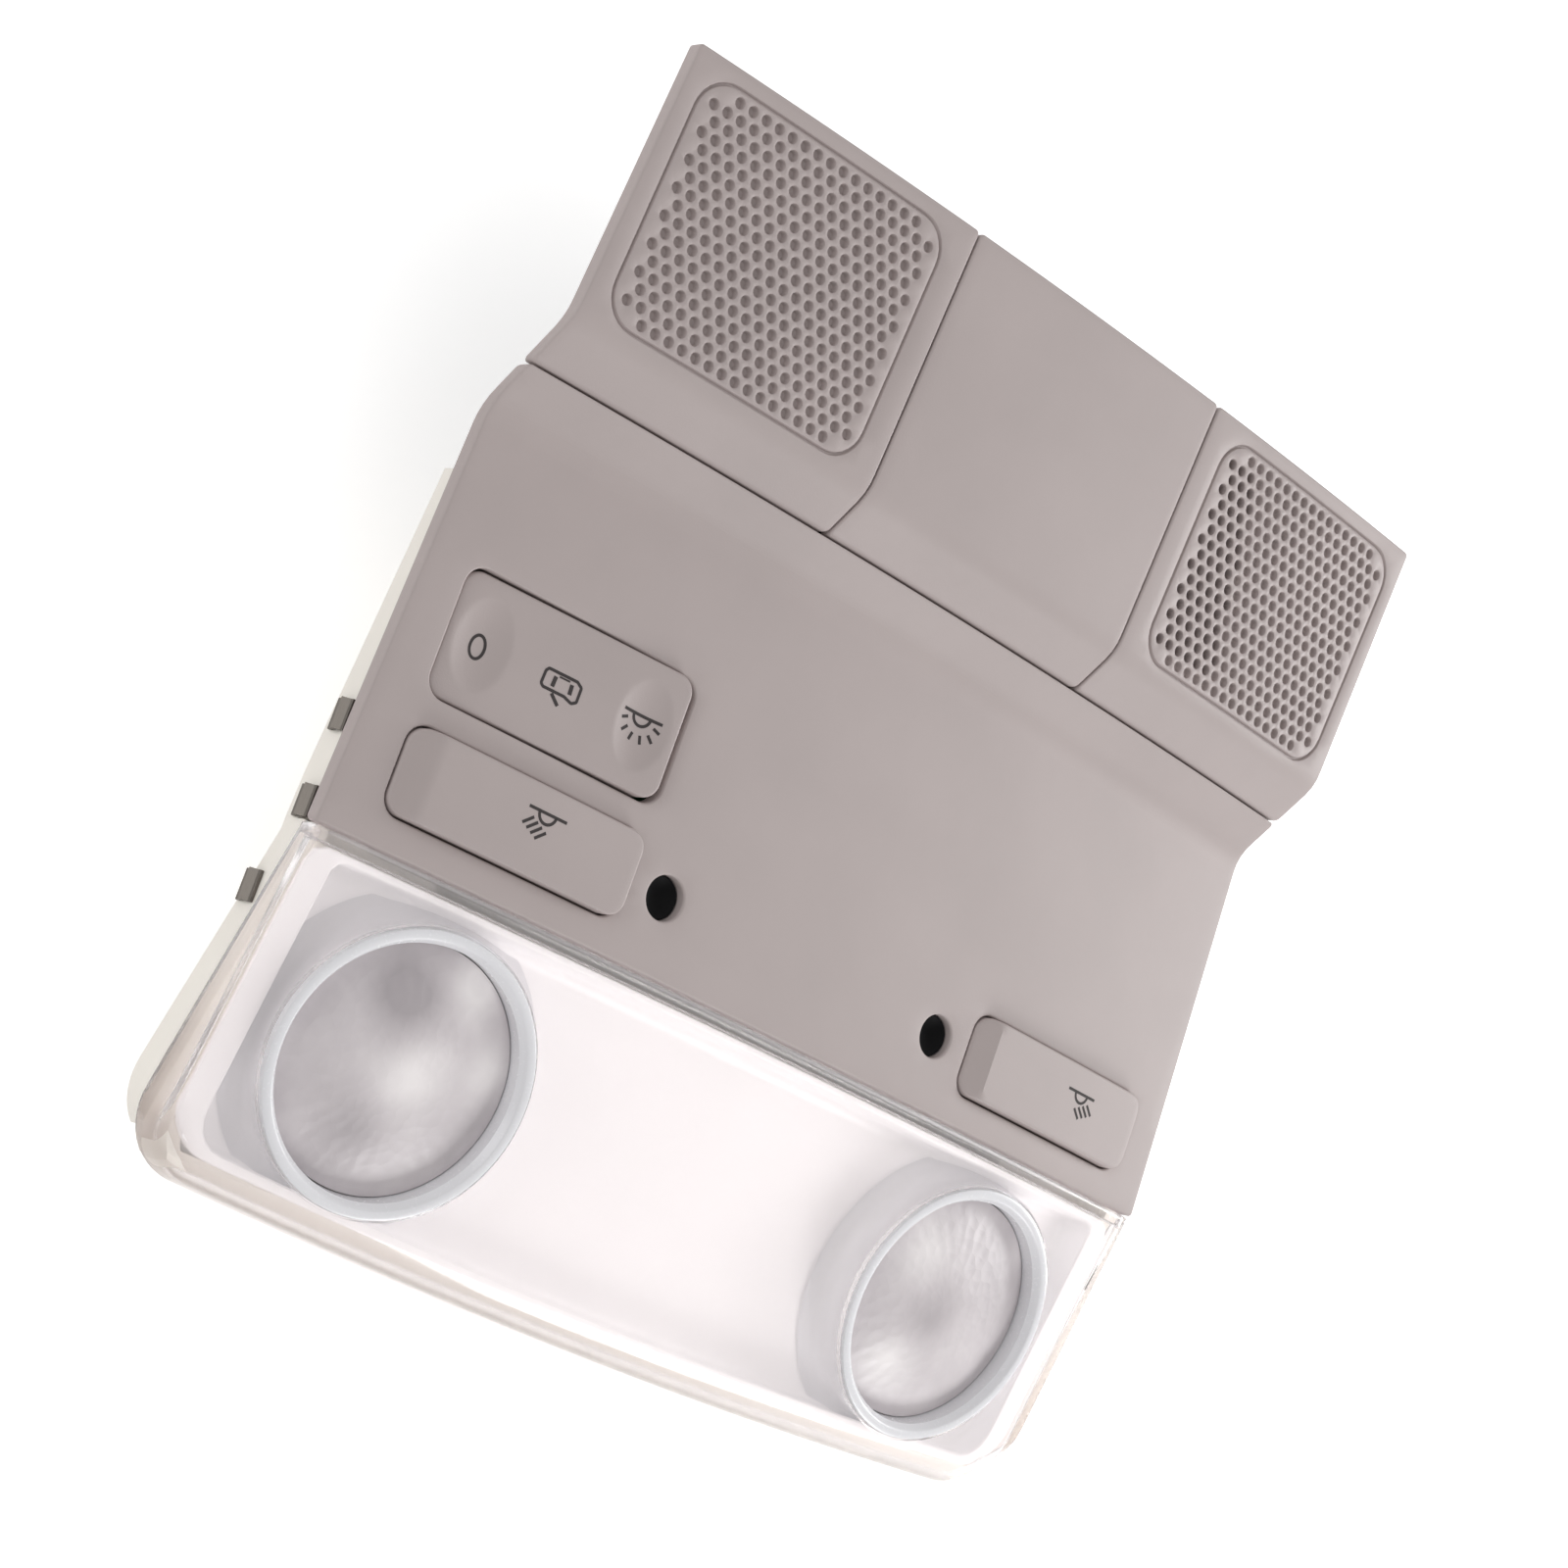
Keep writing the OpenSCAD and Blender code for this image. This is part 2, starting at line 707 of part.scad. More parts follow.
// Mirror radius at depth d below the rim, a parabola that ends at the bulb
function bowl_at(d) = sqrt(pow(bowl_r - bowl_wall, 2) - (pow(bowl_r - bowl_wall, 2) - pow(bowl_foot_r, 2)) * d / bowl_depth);

module mirror_bowl(side) {
    steps = [for (i = [0 : 8]) bowl_depth * i / 8];
    color(silver)
        at_lamp(side)
            translate([0, 0, bowl_rim])
                rotate_extrude()
                    polygon(concat([for (d = steps) [bowl_at(d), -d]],
                        [for (d = reversed(steps)) [bowl_at(d) + bowl_wall, -d]]));
}

bulb_glass_l = 11;
socket_top = bowl_rim - bowl_depth - 0.1;

module reading_bulb(side) {
    color(clear_plastic)
        at_lamp(side)
            translate([0, 0, socket_top + 0.5]) {
                translate([0, 0, bulb_glass_l - bulb_r]) {
                    cylinder(r = bulb_r, h = 0.01);
                    sphere(bulb_r);
                }
                cylinder(r = bulb_r, h = bulb_glass_l - bulb_r);
                translate([0, 0, -1.5])
                    cube([2 * bulb_r - 0.4, 3, 3.2], center = true);
            }
}

module bulb_socket(side) {
    color(black_plastic)
        at_lamp(side)
            translate([0, 0, socket_top - socket_h])
                difference() {
                    cylinder(r = socket_r, h = socket_h);
                    translate([0, 0, socket_h])
                        cube([2 * bulb_r, 3.4, 6], center = true);
                }
}

festoon_y = -24;
festoon_z = 13;
cap_l = 6;

module courtesy_bulb() {
    color(clear_plastic)
        translate([0, festoon_y, festoon_z])
            rotate([0, 90, 0]) {
                cylinder(r = festoon_r, h = festoon_l - 2 * cap_l, center = true);
                for (end = [-1, 1])
                    translate([0, 0, end * (festoon_l - cap_l) / 2])
                        cylinder(r = festoon_r - 1, h = cap_l, center = true);
            }
}

contact_t = 0.8;
contact_w = 8;
contact_top = festoon_z + 3;

// Brass strips that stand on the floor at both ends of the tubular bulb
module bulb_contacts() {
    color(brass)
        for (end = [-1, 1])
            translate([end * (festoon_l + contact_t + 0.2) / 2, festoon_y, (contact_top + housing_wall) / 2])
                cube([contact_t, contact_w, contact_top - housing_wall], center = true);
}

// Frame of the rocker: origin on its pivot, tilted by angle, which is 0 in its middle position
pivot_z = crown(face_z, rocker_x) - rocker_face;

module at_rocker(angle) {
    translate([-rocker_x, rocker_y, pivot_z])
        rotate([0, angle, 0])
            children();
}

trunnion_l = 2.4;
ear_gap = 0.3;
ear_t = 2.6;
dimple_w = 10;
dimple_l = 15;

// Lemon-shaped cutter of an oval finger dimple, lying along Y
module dimple_cutter() {
    across = (pow(dimple_w / 2, 2) + pow(dimple_depth, 2)) / (2 * dimple_depth);
    along = (pow(dimple_l / 2, 2) + pow(dimple_depth, 2)) / (2 * dimple_depth);
    translate([0, 0, across - dimple_depth])
        rotate([90, 0, 0])
            rotate_extrude($fn = 120)
                intersection() {
                    translate([across - along, 0])
                        circle(along, $fn = 180);
                    translate([0, -dimple_l])
                        square([across + 1, 2 * dimple_l]);
                }
}

module main_rocker() {
    cap_depth = 6.2;
    cap_wall = 1.6;
    color(panel_grey)
        at_rocker(-rocker_swing) {
            rotate([0, -rocker_lean, 0])
                difference() {
                    intersection() {
                        translate([0, 0, rocker_face - cap_depth])
                            linear_extrude(cap_depth)
                                rounded_square(rocker_l, rocker_w, rocker_corner_r);
                        rotate([90, 0, 0])
                            cylinder(r = rocker_l / 2, h = rocker_w + 2, center = true, $fn = 180);
                    }
                    translate([0, 0, rocker_face - cap_wall - cap_depth])
                        cube([rocker_l - 8, rocker_w - 2 * cap_wall, 2 * cap_depth], center = true);
                    for (end = [-1, 1])
                        translate([end * dimple_x, 0, rocker_face])
                            dimple_cutter();
                }
            translate([0, 0, (rocker_face - cap_wall - lever_l) / 2])
                cube([2, 6, rocker_face - cap_wall + lever_l], center = true);
            rotate([90, 0, 0]) {
                translate([0, 0, -3])
                    cylinder(r = 2.6, h = 6);
                cylinder(r = trunnion_r, h = rocker_w + 2 * trunnion_l, center = true);
            }
            translate([0, 0, -lever_l])
                rotate([90, 0, 0])
                    cylinder(r = lever_tip_r, h = 6, center = true);
        }
}

carrier_plate_z = board_top + 6.6;
carrier_plate_t = 1.6;
carrier_half_l = terrace_w / 2 - housing_wall - rocker_x - 0.4;
carrier_half_w = rocker_w / 2 + rocker_gap + ear_gap + ear_t;

// Cradle under the rocker with an ear and a bore at each side of it
module switch_carrier() {
    ear_top = pivot_z + 2.4;
    color(black_plastic)
        translate([-rocker_x, rocker_y, 0])
            difference() {
                union() {
                    translate([-carrier_half_l, -carrier_half_w, carrier_plate_z])
                        cube([2 * carrier_half_l, 2 * carrier_half_w, carrier_plate_t]);
                    for (end = [-1, 1])
                        translate([-4, end * (carrier_half_w - ear_t / 2) - ear_t / 2, carrier_plate_z])
                            cube([8, ear_t, ear_top - carrier_plate_z]);
                    for (x = [-1, 1], y = [-1, 1])
                        translate([x * (carrier_half_l - 3.2), y * (carrier_half_w - 3.2), board_top])
                            cylinder(r = 2, h = carrier_plate_z - board_top);
                }
                translate([0, 0, pivot_z])
                    rotate([90, 0, 0])
                        cylinder(r = trunnion_r + trunnion_clearance, h = 2 * carrier_half_w + 2, center = true);
                translate([0, 0, carrier_plate_z])
                    cube([14, 12, 4 * carrier_plate_t], center = true);
            }
}

slider_gap = 0.15;
slider_shift = lever_l * sin(rocker_swing);
slider_l = 9;
slider_w = 4.6;
switch_h = 5.6;
slot_half = lever_tip_r + slider_gap;
prong_t = 1.8;
slider_z = board_top + 2.6;
tip_z = pivot_z - lever_l;

module rocker_slider() {
    color(black_plastic)
        translate([slider_shift - rocker_x, rocker_y, 0])
            difference() {
                union() {
                    translate([-slider_l / 2, -slider_w / 2, slider_z])
                        cube([slider_l, slider_w, 1.8]);
                    translate([-slot_half - prong_t, -slider_w / 2, slider_z])
                        cube([2 * (slot_half + prong_t), slider_w, tip_z + 2 - slider_z]);
                }
                translate([-slot_half, -slider_w, tip_z - lever_tip_r - 0.5])
                    cube([2 * slot_half, 2 * slider_w, tall]);
            }
}

module slide_switch() {
    play = 0.2;
    body_l = slider_l + 2 * slider_shift + 4;
    body_w = slider_w + 3.2;
    color(spring_steel)
        translate([-rocker_x, rocker_y, board_top])
            difference() {
                translate([-body_l / 2, -body_w / 2, 0])
                    cube([body_l, body_w, switch_h]);
                translate([-slider_l / 2 - slider_shift - play, -slider_w / 2 - play, 2.4])
                    cube([slider_l + 2 * (slider_shift + play), slider_w + 2 * play, switch_h]);
            }
}

// Reading buttons: a crowned bar with a bevelled left end, a lip behind the panel and a stem to its switch
stem_x = button_x - 7;
stem_r = 2.2;
button_wall = 1.6;
button_skirt = 5;
plunger_r = 1.5;
plunger_top = board_top + 6;
plunger_l = 3.6;
lip_t = 1;
lip_top = panel_wall + seat_gap;

module button_layer(side, from, to, w, l, r) {
    intersection() {
        face_layer(from, to);
        translate([side * button_x, button_y, 0])
            linear_extrude(tall)
                rounded_square(w, l, r);
    }
}

module reading_button(side) {
    bevel_z = crown(face_z, button_x);
    slant = atan(button_bevel / button_rise);
    foot_x = side * button_x - button_l / 2;
    color(panel_grey) {
        difference() {
            button_layer(side, -button_rise, button_skirt, button_l, button_w, button_corner_r);
            button_layer(side, button_wall - button_rise, button_skirt + 1, button_l - 2 * button_bevel - 2 * button_wall,
                button_w - 2 * button_wall, 1);
            translate([foot_x, button_y, crown(face_z, foot_x)])
                rotate([0, slant, 0])
                    translate([-8, -button_w, -1])
                        cube([8, 2 * button_w, 8]);
        }
        difference() {
            button_layer(side, lip_top, lip_top + lip_t, button_l + 2 * button_lip, button_w + 2 * button_lip,
                button_corner_r + button_lip);
            button_layer(side, 0, 9, button_l - 2 * button_bevel - 2 * button_wall, button_w - 2 * button_wall, 1);
        }
        intersection() {
            translate([side * stem_x, button_y, plunger_top])
                cylinder(r = stem_r, h = bevel_z + button_rise - plunger_top);
            crowned([[0, deep], [0, face_z + button_rise - button_wall / 2], [40, face_z + button_rise - button_wall / 2], [40, deep]]);
        }
    }
}

module plunger(side) {
    color(tray_white)
        translate([side * stem_x, button_y, plunger_top - plunger_l])
            cylinder(r = plunger_r, h = plunger_l);
}

module microswitch(side) {
    body_w = 6.2;
    body_h = plunger_top - board_top - button_travel - 0.4;
    color(black_plastic)
        translate([side * stem_x, button_y, board_top])
            difference() {
                translate([-body_w / 2, -body_w / 2, 0])
                    cube([body_w, body_w, body_h]);
                translate([0, 0, plunger_top - board_top - plunger_l - button_travel - 0.2])
                    cylinder(r = plunger_r + 0.1, h = body_h);
            }
}

module ambient_light(side) {
    recess = 1.4;
    length = 7;
    color(black_plastic)
        translate([side * ambient_x, ambient_y, crown(face_z, ambient_x) - recess - length])
            difference() {
                cylinder(r = ambient_r - 0.15, h = length);
                translate([0, 0, length + 2.2])
                    sphere(3.6);
            }
}

post_r = 2.6;
post_inset = 4;

module circuit_board() {
    color(board_green)
        translate([-board_w / 2, board_y0, board_z])
            cube([board_w, board_l, board_t]);
}

plug_depth = 13;
plug_y0 = board_y0 + board_l - 8;

module connector_socket() {
    color(black_plastic)
        translate([0, plug_y0, board_top])
            difference() {
                translate([-plug_w / 2, 0, 0])
                    cube([plug_w, plug_depth, plug_h]);
                translate([plug_wall - plug_w / 2, 3, plug_wall])
                    cube([plug_w - 2 * plug_wall, plug_depth, plug_h - 2 * plug_wall]);
            }
}

pin_count = 6;
pin_pitch = 3;
pin_w = 0.8;
pin_l = 6;

module contact_pins() {
    color(brass)
        for (i = [0 : pin_count - 1])
            translate([(i - (pin_count - 1) / 2) * pin_pitch, plug_y0 + 3 + pin_l / 2, board_top + plug_h / 2])
                cube([pin_w, pin_l, pin_w], center = true);
}

// How far the shelf behind the panel runs on under the lens
shelf_lap = 2;
shelf_half_w = panel_w / 2 - shelf_inset;
chamfer_tilt = atan((shelf_rise + panel_w / 2 - half_width(shelf_l)) / shelf_l);
chamfer_w = 9;

// Space above slanted chamfers under the shelf's sides, moved in by inset and up by lift
module above_chamfers(inset, lift) {
    half_w = shelf_half_w - inset;
    translate([0, 0, shelf_z + (lift - 1) / 2])
        rotate([90 + chamfer_tilt, 0, 0])
            linear_extrude(2 * tall, center = true)
                polygon([[half_w, tall], [half_w, 0], [half_w - chamfer_w, -chamfer_w], [chamfer_w - half_w, -chamfer_w],
                    [-half_w, 0], [-half_w, tall]]);
}

// Stacked boxes of the housing, moved in by inset and up by lift; the open top is cut by its seat
module housing_boxes(inset, lift) {
    lamp_w = bay_w - 17;
    deep_w = bay_w - 31;
    lamp_z = 10;
    top = tall - lift;
    // round the lens
    intersection() {
        bay_prism(inset, -inset);
        crowned([[inset, lens_z(0) - bay_depth + lift], [-lens_l, lens_z(-lens_l) - bay_depth + lift], [-lens_l, tall],
            [inset, tall]]);
    }
    // round the mirror bowls
    translate([0, -bay_front / 2 + 3, lamp_z + lift])
        linear_extrude(top - lamp_z)
            rounded_square(lamp_w - 2 * inset, bay_front - 6 - 2 * inset, 6 - inset);
    translate([0, -bay_front / 2 + 3, lift])
        linear_extrude(top)
            rounded_square(deep_w - 2 * inset, bay_front - 12 - 2 * inset, 6 - inset);
    // behind the panel
    intersection() {
        translate([0, shelf_l / 2 - shelf_lap / 2, shelf_z + lift])
            linear_extrude(top - shelf_z)
                rounded_square(panel_w + 10, shelf_l + shelf_lap - 2 * inset, 5 - inset);
        linear_extrude(tall)
            front_outline(-shelf_lap, shelf_l, shelf_inset + inset);
        above_chamfers(inset, lift);
    }
    // round the circuit board
    translate([0, housing_end / 2, terrace_z + lift])
        linear_extrude(top - terrace_z)
            rounded_square(terrace_w - 2 * inset, housing_end + 4 - 2 * inset, 5 - inset);
    translate([0, housing_end / 2 - 5, lift])
        linear_extrude(top)
            rounded_square(middle_w - 2 * inset, housing_end + 10 - 2 * inset, 5 - inset);
}

// Side view of the space above the housing's walls, as [y, z]: under the lens, then under the panel,
// with a notch between them for the back wall of the lens and the rim of the panel
rim_seat = tray_top + flange_t + seat_gap / 2;
notch_front = seam_gap / 2 + lens_wall + seat_gap;
notch_back = rim_t + seat_gap;
notch_z = face_z - panel_wall - rim_h - seat_gap;
panel_seat_z = face_z - panel_wall - seat_gap;
front_drop = 3;
housing_side = [[-lens_l, deep], [-lens_l, lens_z(-lens_l) - rim_seat - front_drop],
    [lens_edge_r - lens_l, lens_z(lens_edge_r - lens_l) - rim_seat], [-notch_front, lens_z(-notch_front) - rim_seat],
    [-notch_front, notch_z], [notch_back, notch_z], [notch_back, panel_seat_z], [tall, panel_seat_z], [tall, deep]];

ledge_l = lens_l - lens_edge_r;

// Height on the centre line of the ledge under the side walls of the lens; y is negative there
function ledge_top(y) = lens_z(y) - lens_skirt - seat_gap + lens_edge_r * y / ledge_l;

module housing_ledge() {
    intersection() {
        difference() {
            bowed_prism(lens_w / 2 - seat_gap, ledge_l, 0, lens_corner_r);
            bay_prism(housing_wall / 2, -1);
        }
        crowned([[-ledge_l, ledge_top(-ledge_l)], [0, ledge_top(0)], [0, lens_z(0) - ledge_depth],
            [-ledge_l, lens_z(-ledge_l) - ledge_front_depth]]);
    }
}

// Room for the panel's rim where the housing's end wall crosses it
module rim_room() {
    intersection() {
        face_layer(0, panel_wall + rim_h + seat_gap);
        linear_extrude(tall)
            difference() {
                front_outline(0, seam_y, rim_inset - seat_gap);
                front_outline(-1, seam_y + 1, rim_inset + rim_t + seat_gap);
            }
    }
}

module back_housing() {
    color(cream) {
        difference() {
            union() {
                intersection() {
                    housing_boxes(0, 0);
                    crowned(housing_side);
                }
                housing_ledge();
            }
            housing_boxes(housing_wall, housing_wall);
            rim_room();
            translate([0, plug_y0, board_top])
                translate([-plug_w / 2 - 0.3, 0, -0.3])
                    cube([plug_w + 0.6, 40, plug_h + 0.6]);
            for (side = [LEFT, RIGHT])
                translate([side * screw_x, screw_y, 0])
                    cylinder(r = screw_r + 0.3, h = tall);
        }
        for (x = [-1, 1], y = [board_y0 + post_inset, board_y0 + board_l - post_inset])
            translate([x * (middle_w / 2 - housing_wall - post_inset), y, housing_wall / 2])
                cylinder(r = post_r, h = board_z - housing_wall / 2);
        for (side = [LEFT, RIGHT])
            lamp_pillars(side);
    }
}

// Pillars from the floor of the housing up to each bulb socket
module lamp_pillars(side) {
    intersection() {
        at_lamp(side)
            translate([0, 0, socket_top - socket_h - 20])
                difference() {
                    cylinder(r = socket_r, h = 20);
                    cylinder(r = socket_r - 2, h = 60, center = true);
                }
        translate([-panel_w / 2, -lens_l, housing_wall / 2])
            cube([panel_w, lens_l, tall]);
    }
}

clip_t = 0.5;
clip_h = 4;
clip_y = clip_l / 2 + seat_gap;

// Bent spring strip against a side wall at distance y from the lens, under the edge of the panel or the lens
module spring_clip(y) {
    line = [[0, 0], [0, clip_h * 0.2], [clip_bulge, clip_h * 0.5], [0, clip_h * 0.8], [0, clip_h]];
    x = y > 0 ? half_width(y - clip_l / 2) - shelf_inset : lens_w / 2 - seat_gap;
    top = crown(y > 0 ? panel_seat_z : ledge_top(y - clip_l / 2), x) - seat_gap;
    translate([x + 0.1, y + clip_l / 2, top - clip_h])
        rotate([90, 0, 0])
            linear_extrude(clip_l)
                polygon(concat(line, reversed(beside(line, clip_t))));
}

module spring_clips() {
    color(spring_steel)
        for (side = [0, 1], i = [-1 : 1])
            mirror([side, 0, 0])
                spring_clip(clip_y + i * clip_pitch);
}

module housing_screws() {
    color(spring_steel)
        for (side = [LEFT, RIGHT])
            translate([side * screw_x, screw_y, shelf_z]) {
                translate([0, 0, -screw_head_h])
                    cylinder(r = screw_head_r, h = screw_head_h);
                cylinder(r = screw_r, h = screw_l);
            }
}

main_panel();
grille_cover(LEFT);  // left_grille_cover
grille_cover(RIGHT);  // right_grille_cover
centre_cover();
cover_frame();
lens_cover();
diffuser_tray();
lamp_collar(LEFT);  // left_lamp_collar
lamp_collar(RIGHT);  // right_lamp_collar
reading_lens(LEFT);  // left_reading_lens
reading_lens(RIGHT);  // right_reading_lens
mirror_bowl(LEFT);  // left_mirror_bowl
mirror_bowl(RIGHT);  // right_mirror_bowl
reading_bulb(LEFT);  // left_reading_bulb
reading_bulb(RIGHT);  // right_reading_bulb
bulb_socket(LEFT);  // left_bulb_socket
bulb_socket(RIGHT);  // right_bulb_socket
courtesy_bulb();
bulb_contacts();
main_rocker();
switch_carrier();
rocker_slider();
slide_switch();
reading_button(LEFT);  // left_reading_button
reading_button(RIGHT);  // right_reading_button
plunger(LEFT);  // left_plunger
plunger(RIGHT);  // right_plunger
microswitch(LEFT);  // left_microswitch
microswitch(RIGHT);  // right_microswitch
ambient_light(LEFT);  // left_ambient_light
ambient_light(RIGHT);  // right_ambient_light
circuit_board();
connector_socket();
contact_pins();
back_housing();
spring_clips();
housing_screws();
microphone();
microphone_sleeve();
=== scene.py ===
"""Overhead dome light of a car: moulded panel with perforated covers, clear lens with two reading lamps."""

import bmesh
import bpy
import numpy as np
from bpy.props import FloatProperty, FloatVectorProperty, PointerProperty
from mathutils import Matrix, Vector
from mathutils.geometry import delaunay_2d_cdt


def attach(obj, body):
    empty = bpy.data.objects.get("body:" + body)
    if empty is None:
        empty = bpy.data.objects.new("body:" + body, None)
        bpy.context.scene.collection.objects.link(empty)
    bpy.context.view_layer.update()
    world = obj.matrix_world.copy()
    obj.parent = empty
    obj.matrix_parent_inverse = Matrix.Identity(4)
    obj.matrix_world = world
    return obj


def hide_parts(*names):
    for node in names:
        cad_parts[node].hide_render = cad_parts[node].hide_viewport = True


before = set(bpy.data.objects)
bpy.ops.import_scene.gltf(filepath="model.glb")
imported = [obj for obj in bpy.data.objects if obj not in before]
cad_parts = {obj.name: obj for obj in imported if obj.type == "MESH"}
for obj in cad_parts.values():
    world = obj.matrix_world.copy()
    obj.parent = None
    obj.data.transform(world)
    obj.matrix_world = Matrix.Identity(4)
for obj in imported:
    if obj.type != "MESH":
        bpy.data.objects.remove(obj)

bl_info = {
    "name": "Car Dome Light",
    "version": (1, 0, 0),
    "blender": (4, 5, 0),
    "location": "View3D > Sidebar > Dome Light",
    "description": "Surfaces, finishes and studio of an overhead car dome light",
    "category": "Object",
}

# Sizes in millimetres, in the frame of the part: X across, +Y to the grilles, +Z out of the face
MM = 0.001
LEFT, RIGHT = -1, 1
CROWN_R = 1000.0
FACE_Z = 39.0
WALL = 2.4
RIM_H, RIM_T, RIM_INSET = 3.0, 1.6, 3.4
FOOT_Y, TOP_Y, FAR_Y = 68.5, 83.0, 128.8
STEP_H, COVER_RISE, BEND_R = 12.6, 4.8, 8.0
SEAM_Y, SEAM_GAP = 75.5, 0.4
PANEL_W, WAIST_W, FAR_W = 190.4, 185.2, 183.4
CENTRE_HALF = 31.1
GRILLE_X, GRILLE_Y, GRILLE_W, GRILLE_L, GRILLE_R = 62.5, 105.4, 51.0, 40.4, 5.5
HOLE_PITCH, HOLE_MARGIN, HOLE_SIDES, MIC_WINDOW, GROOVE_OUT = 2.7, 0.4, 12, 13.0, 0.8
LENS_W, LENS_L, LENS_PITCH, LENS_WALL = 190.0, 57.5, np.radians(11.7), 1.8
LENS_EDGE, LENS_CORNER, LENS_BOW, LENS_SKIRT = 6.0, 12.0, 1480.0, 3.4
LAMP_X, LAMP_Y = 62.4, 28.75
COLLAR_R, COLLAR_BORE, COLLAR_LIFT, COLLAR_FLARE, COLLAR_GAP = 23.0, 20.5, 0.3, 3.8, 0.3
TRAY_HALF, TRAY_FRONT, TRAY_BACK, TRAY_CORNER = 89.1, 52.7, 2.3, 6.6
TRAY_DEPTH, TRAY_TOP, TRAY_WALL, TRAY_BEND = 8.6, 2.3, 1.2, 2.2
FLANGE_HALF, FLANGE_FRONT, FLANGE_CORNER, FLANGE_T = 92.6, 53.1, 9.0, 1.0
SEAT_GAP, SHELF_Z = 0.3, 25.5
SCREW_X, SCREW_Y, POST_BORE, POST_R = 80.0, 52.0, 1.35, 3.2
STEM_X, STEM_R, STEM_LOW, STEM_TOP = 56.0, 2.2, 19.6, 37.0
ROCKER_X, ROCKER_Y, ROCKER_L, ROCKER_W, ROCKER_FACE = 62.8, 35.0, 45.2, 20.6, 5.2
ROCKER_SWING, ROCKER_CORNER, ROCKER_GAP, CAP_DEPTH, CAP_WALL = np.radians(4), 3.0, 0.4, 6.2, 1.6
DIMPLE_X, DIMPLE_W, DIMPLE_L, DIMPLE_DEPTH = 15.4, 10.0, 15.0, 0.9
TRUNNION_R, TRUNNION_L, LEVER_L, LEVER_TIP = 1.5, 2.4, 10.0, 1.4
BUTTON_X, BUTTON_Y, BUTTON_L, BUTTON_W, BUTTON_RISE, BUTTON_BEVEL = 63.0, 12.6, 45.0, 14.0, 2.0, 4.5
BUTTON_CORNER, BUTTON_GAP, BUTTON_LIP = 3.0, 0.35, 0.9
AMBIENT_X, AMBIENT_Y, AMBIENT_R, AMBIENT_RECESS, AMBIENT_L = 32.1, 12.4, 3.65, 1.4, 7.0
INK_W, INK_LIFT, LAMP_SIGN = 0.5, 0.03, 7.4
DOME_R = COLLAR_BORE - 0.2
AXIS_Z = FACE_Z - CROWN_R
LENS_SLOPE = np.tan(LENS_PITCH)
PIVOT_Z = AXIS_Z + np.sqrt(CROWN_R ** 2 - ROCKER_X ** 2) - ROCKER_FACE


# ------------------------------------------------------------------ surfaces

def crown(z, x):
    """Height at x of a cylinder along Y whose centre line is at height z: axis + sqrt((z - axis)^2 - x^2)."""
    return AXIS_Z + np.sqrt((z - AXIS_Z) ** 2 - x * x)


def rounded_line(points, r, steps=24):
    """A polyline whose inner corners are arcs of radius r, tangent to both neighbours."""
    points = np.asarray(points, float)
    out = [points[:1]]
    for a, b, c in zip(points[:-2], points[1:-1], points[2:]):
        u, v = (a - b) / np.linalg.norm(a - b), (c - b) / np.linalg.norm(c - b)
        half = np.arccos(u @ v) / 2
        mid = b + (u + v) / np.linalg.norm(u + v) * r / np.sin(half)
        p, q = b + u * r / np.tan(half) - mid, b + v * r / np.tan(half) - mid
        sweep = np.arctan2(p[0] * q[1] - p[1] * q[0], p @ q)
        t = np.arctan2(p[1], p[0]) + sweep * np.linspace(0, 1, steps)
        out.append(mid + r * np.c_[np.cos(t), np.sin(t)])
    return np.vstack(out + [points[-1:]])


FACE_LINE = rounded_line([(-5, FACE_Z), (FOOT_Y, FACE_Z), (TOP_Y, FACE_Z + STEP_H),
                          (FAR_Y + 5, FACE_Z + STEP_H + COVER_RISE * (1 + 5 / (FAR_Y - TOP_Y)))], BEND_R)


def face(x, y):
    """Height of the panel and covers: the stepped centre line at y, carried over the crown at x."""
    return crown(np.interp(y, FACE_LINE[:, 0], FACE_LINE[:, 1]), x)


def lens_face(x, y):
    """Height of the lens: a plane that falls towards -Y by the pitch, carried over the crown."""
    return crown(FACE_Z + LENS_SLOPE * y, x)


# ------------------------------------------------------------------ outlines

def rounded_box(w, l, r, x=0.0, y=0.0, arc=8, edge=2.5):
    """Closed outline of a rounded rectangle, anticlockwise: four arcs joined by divided straight edges."""
    t = np.linspace(0, np.pi / 2, arc)
    a, b = w / 2 - r, l / 2 - r
    corners = [(a, b, t), (-a, b, t + np.pi / 2), (-a, -b, t + np.pi), (a, -b, t + 3 * np.pi / 2)]
    arcs = [np.c_[cx + r * np.cos(v), cy + r * np.sin(v)] for cx, cy, v in corners]
    return divided(np.vstack(arcs), edge) + (x, y)


def divided(loop, edge):
    """A closed outline with every side longer than edge cut into equal parts no longer than it."""
    nxt = np.roll(loop, -1, axis=0)
    n = np.maximum(1, np.ceil(np.linalg.norm(nxt - loop, axis=1) / edge)).astype(int)
    owner = np.repeat(np.arange(len(loop)), n)
    share = (np.arange(n.sum()) - np.repeat(np.cumsum(n) - n, n)) / np.repeat(n, n)
    return loop[owner] + (nxt - loop)[owner] * share[:, None]


def circle(r, x=0.0, y=0.0, n=48):
    """Closed outline of a circle, anticlockwise."""
    t = np.arange(n) * 2 * np.pi / n
    return np.c_[x + r * np.cos(t), y + r * np.sin(t)]


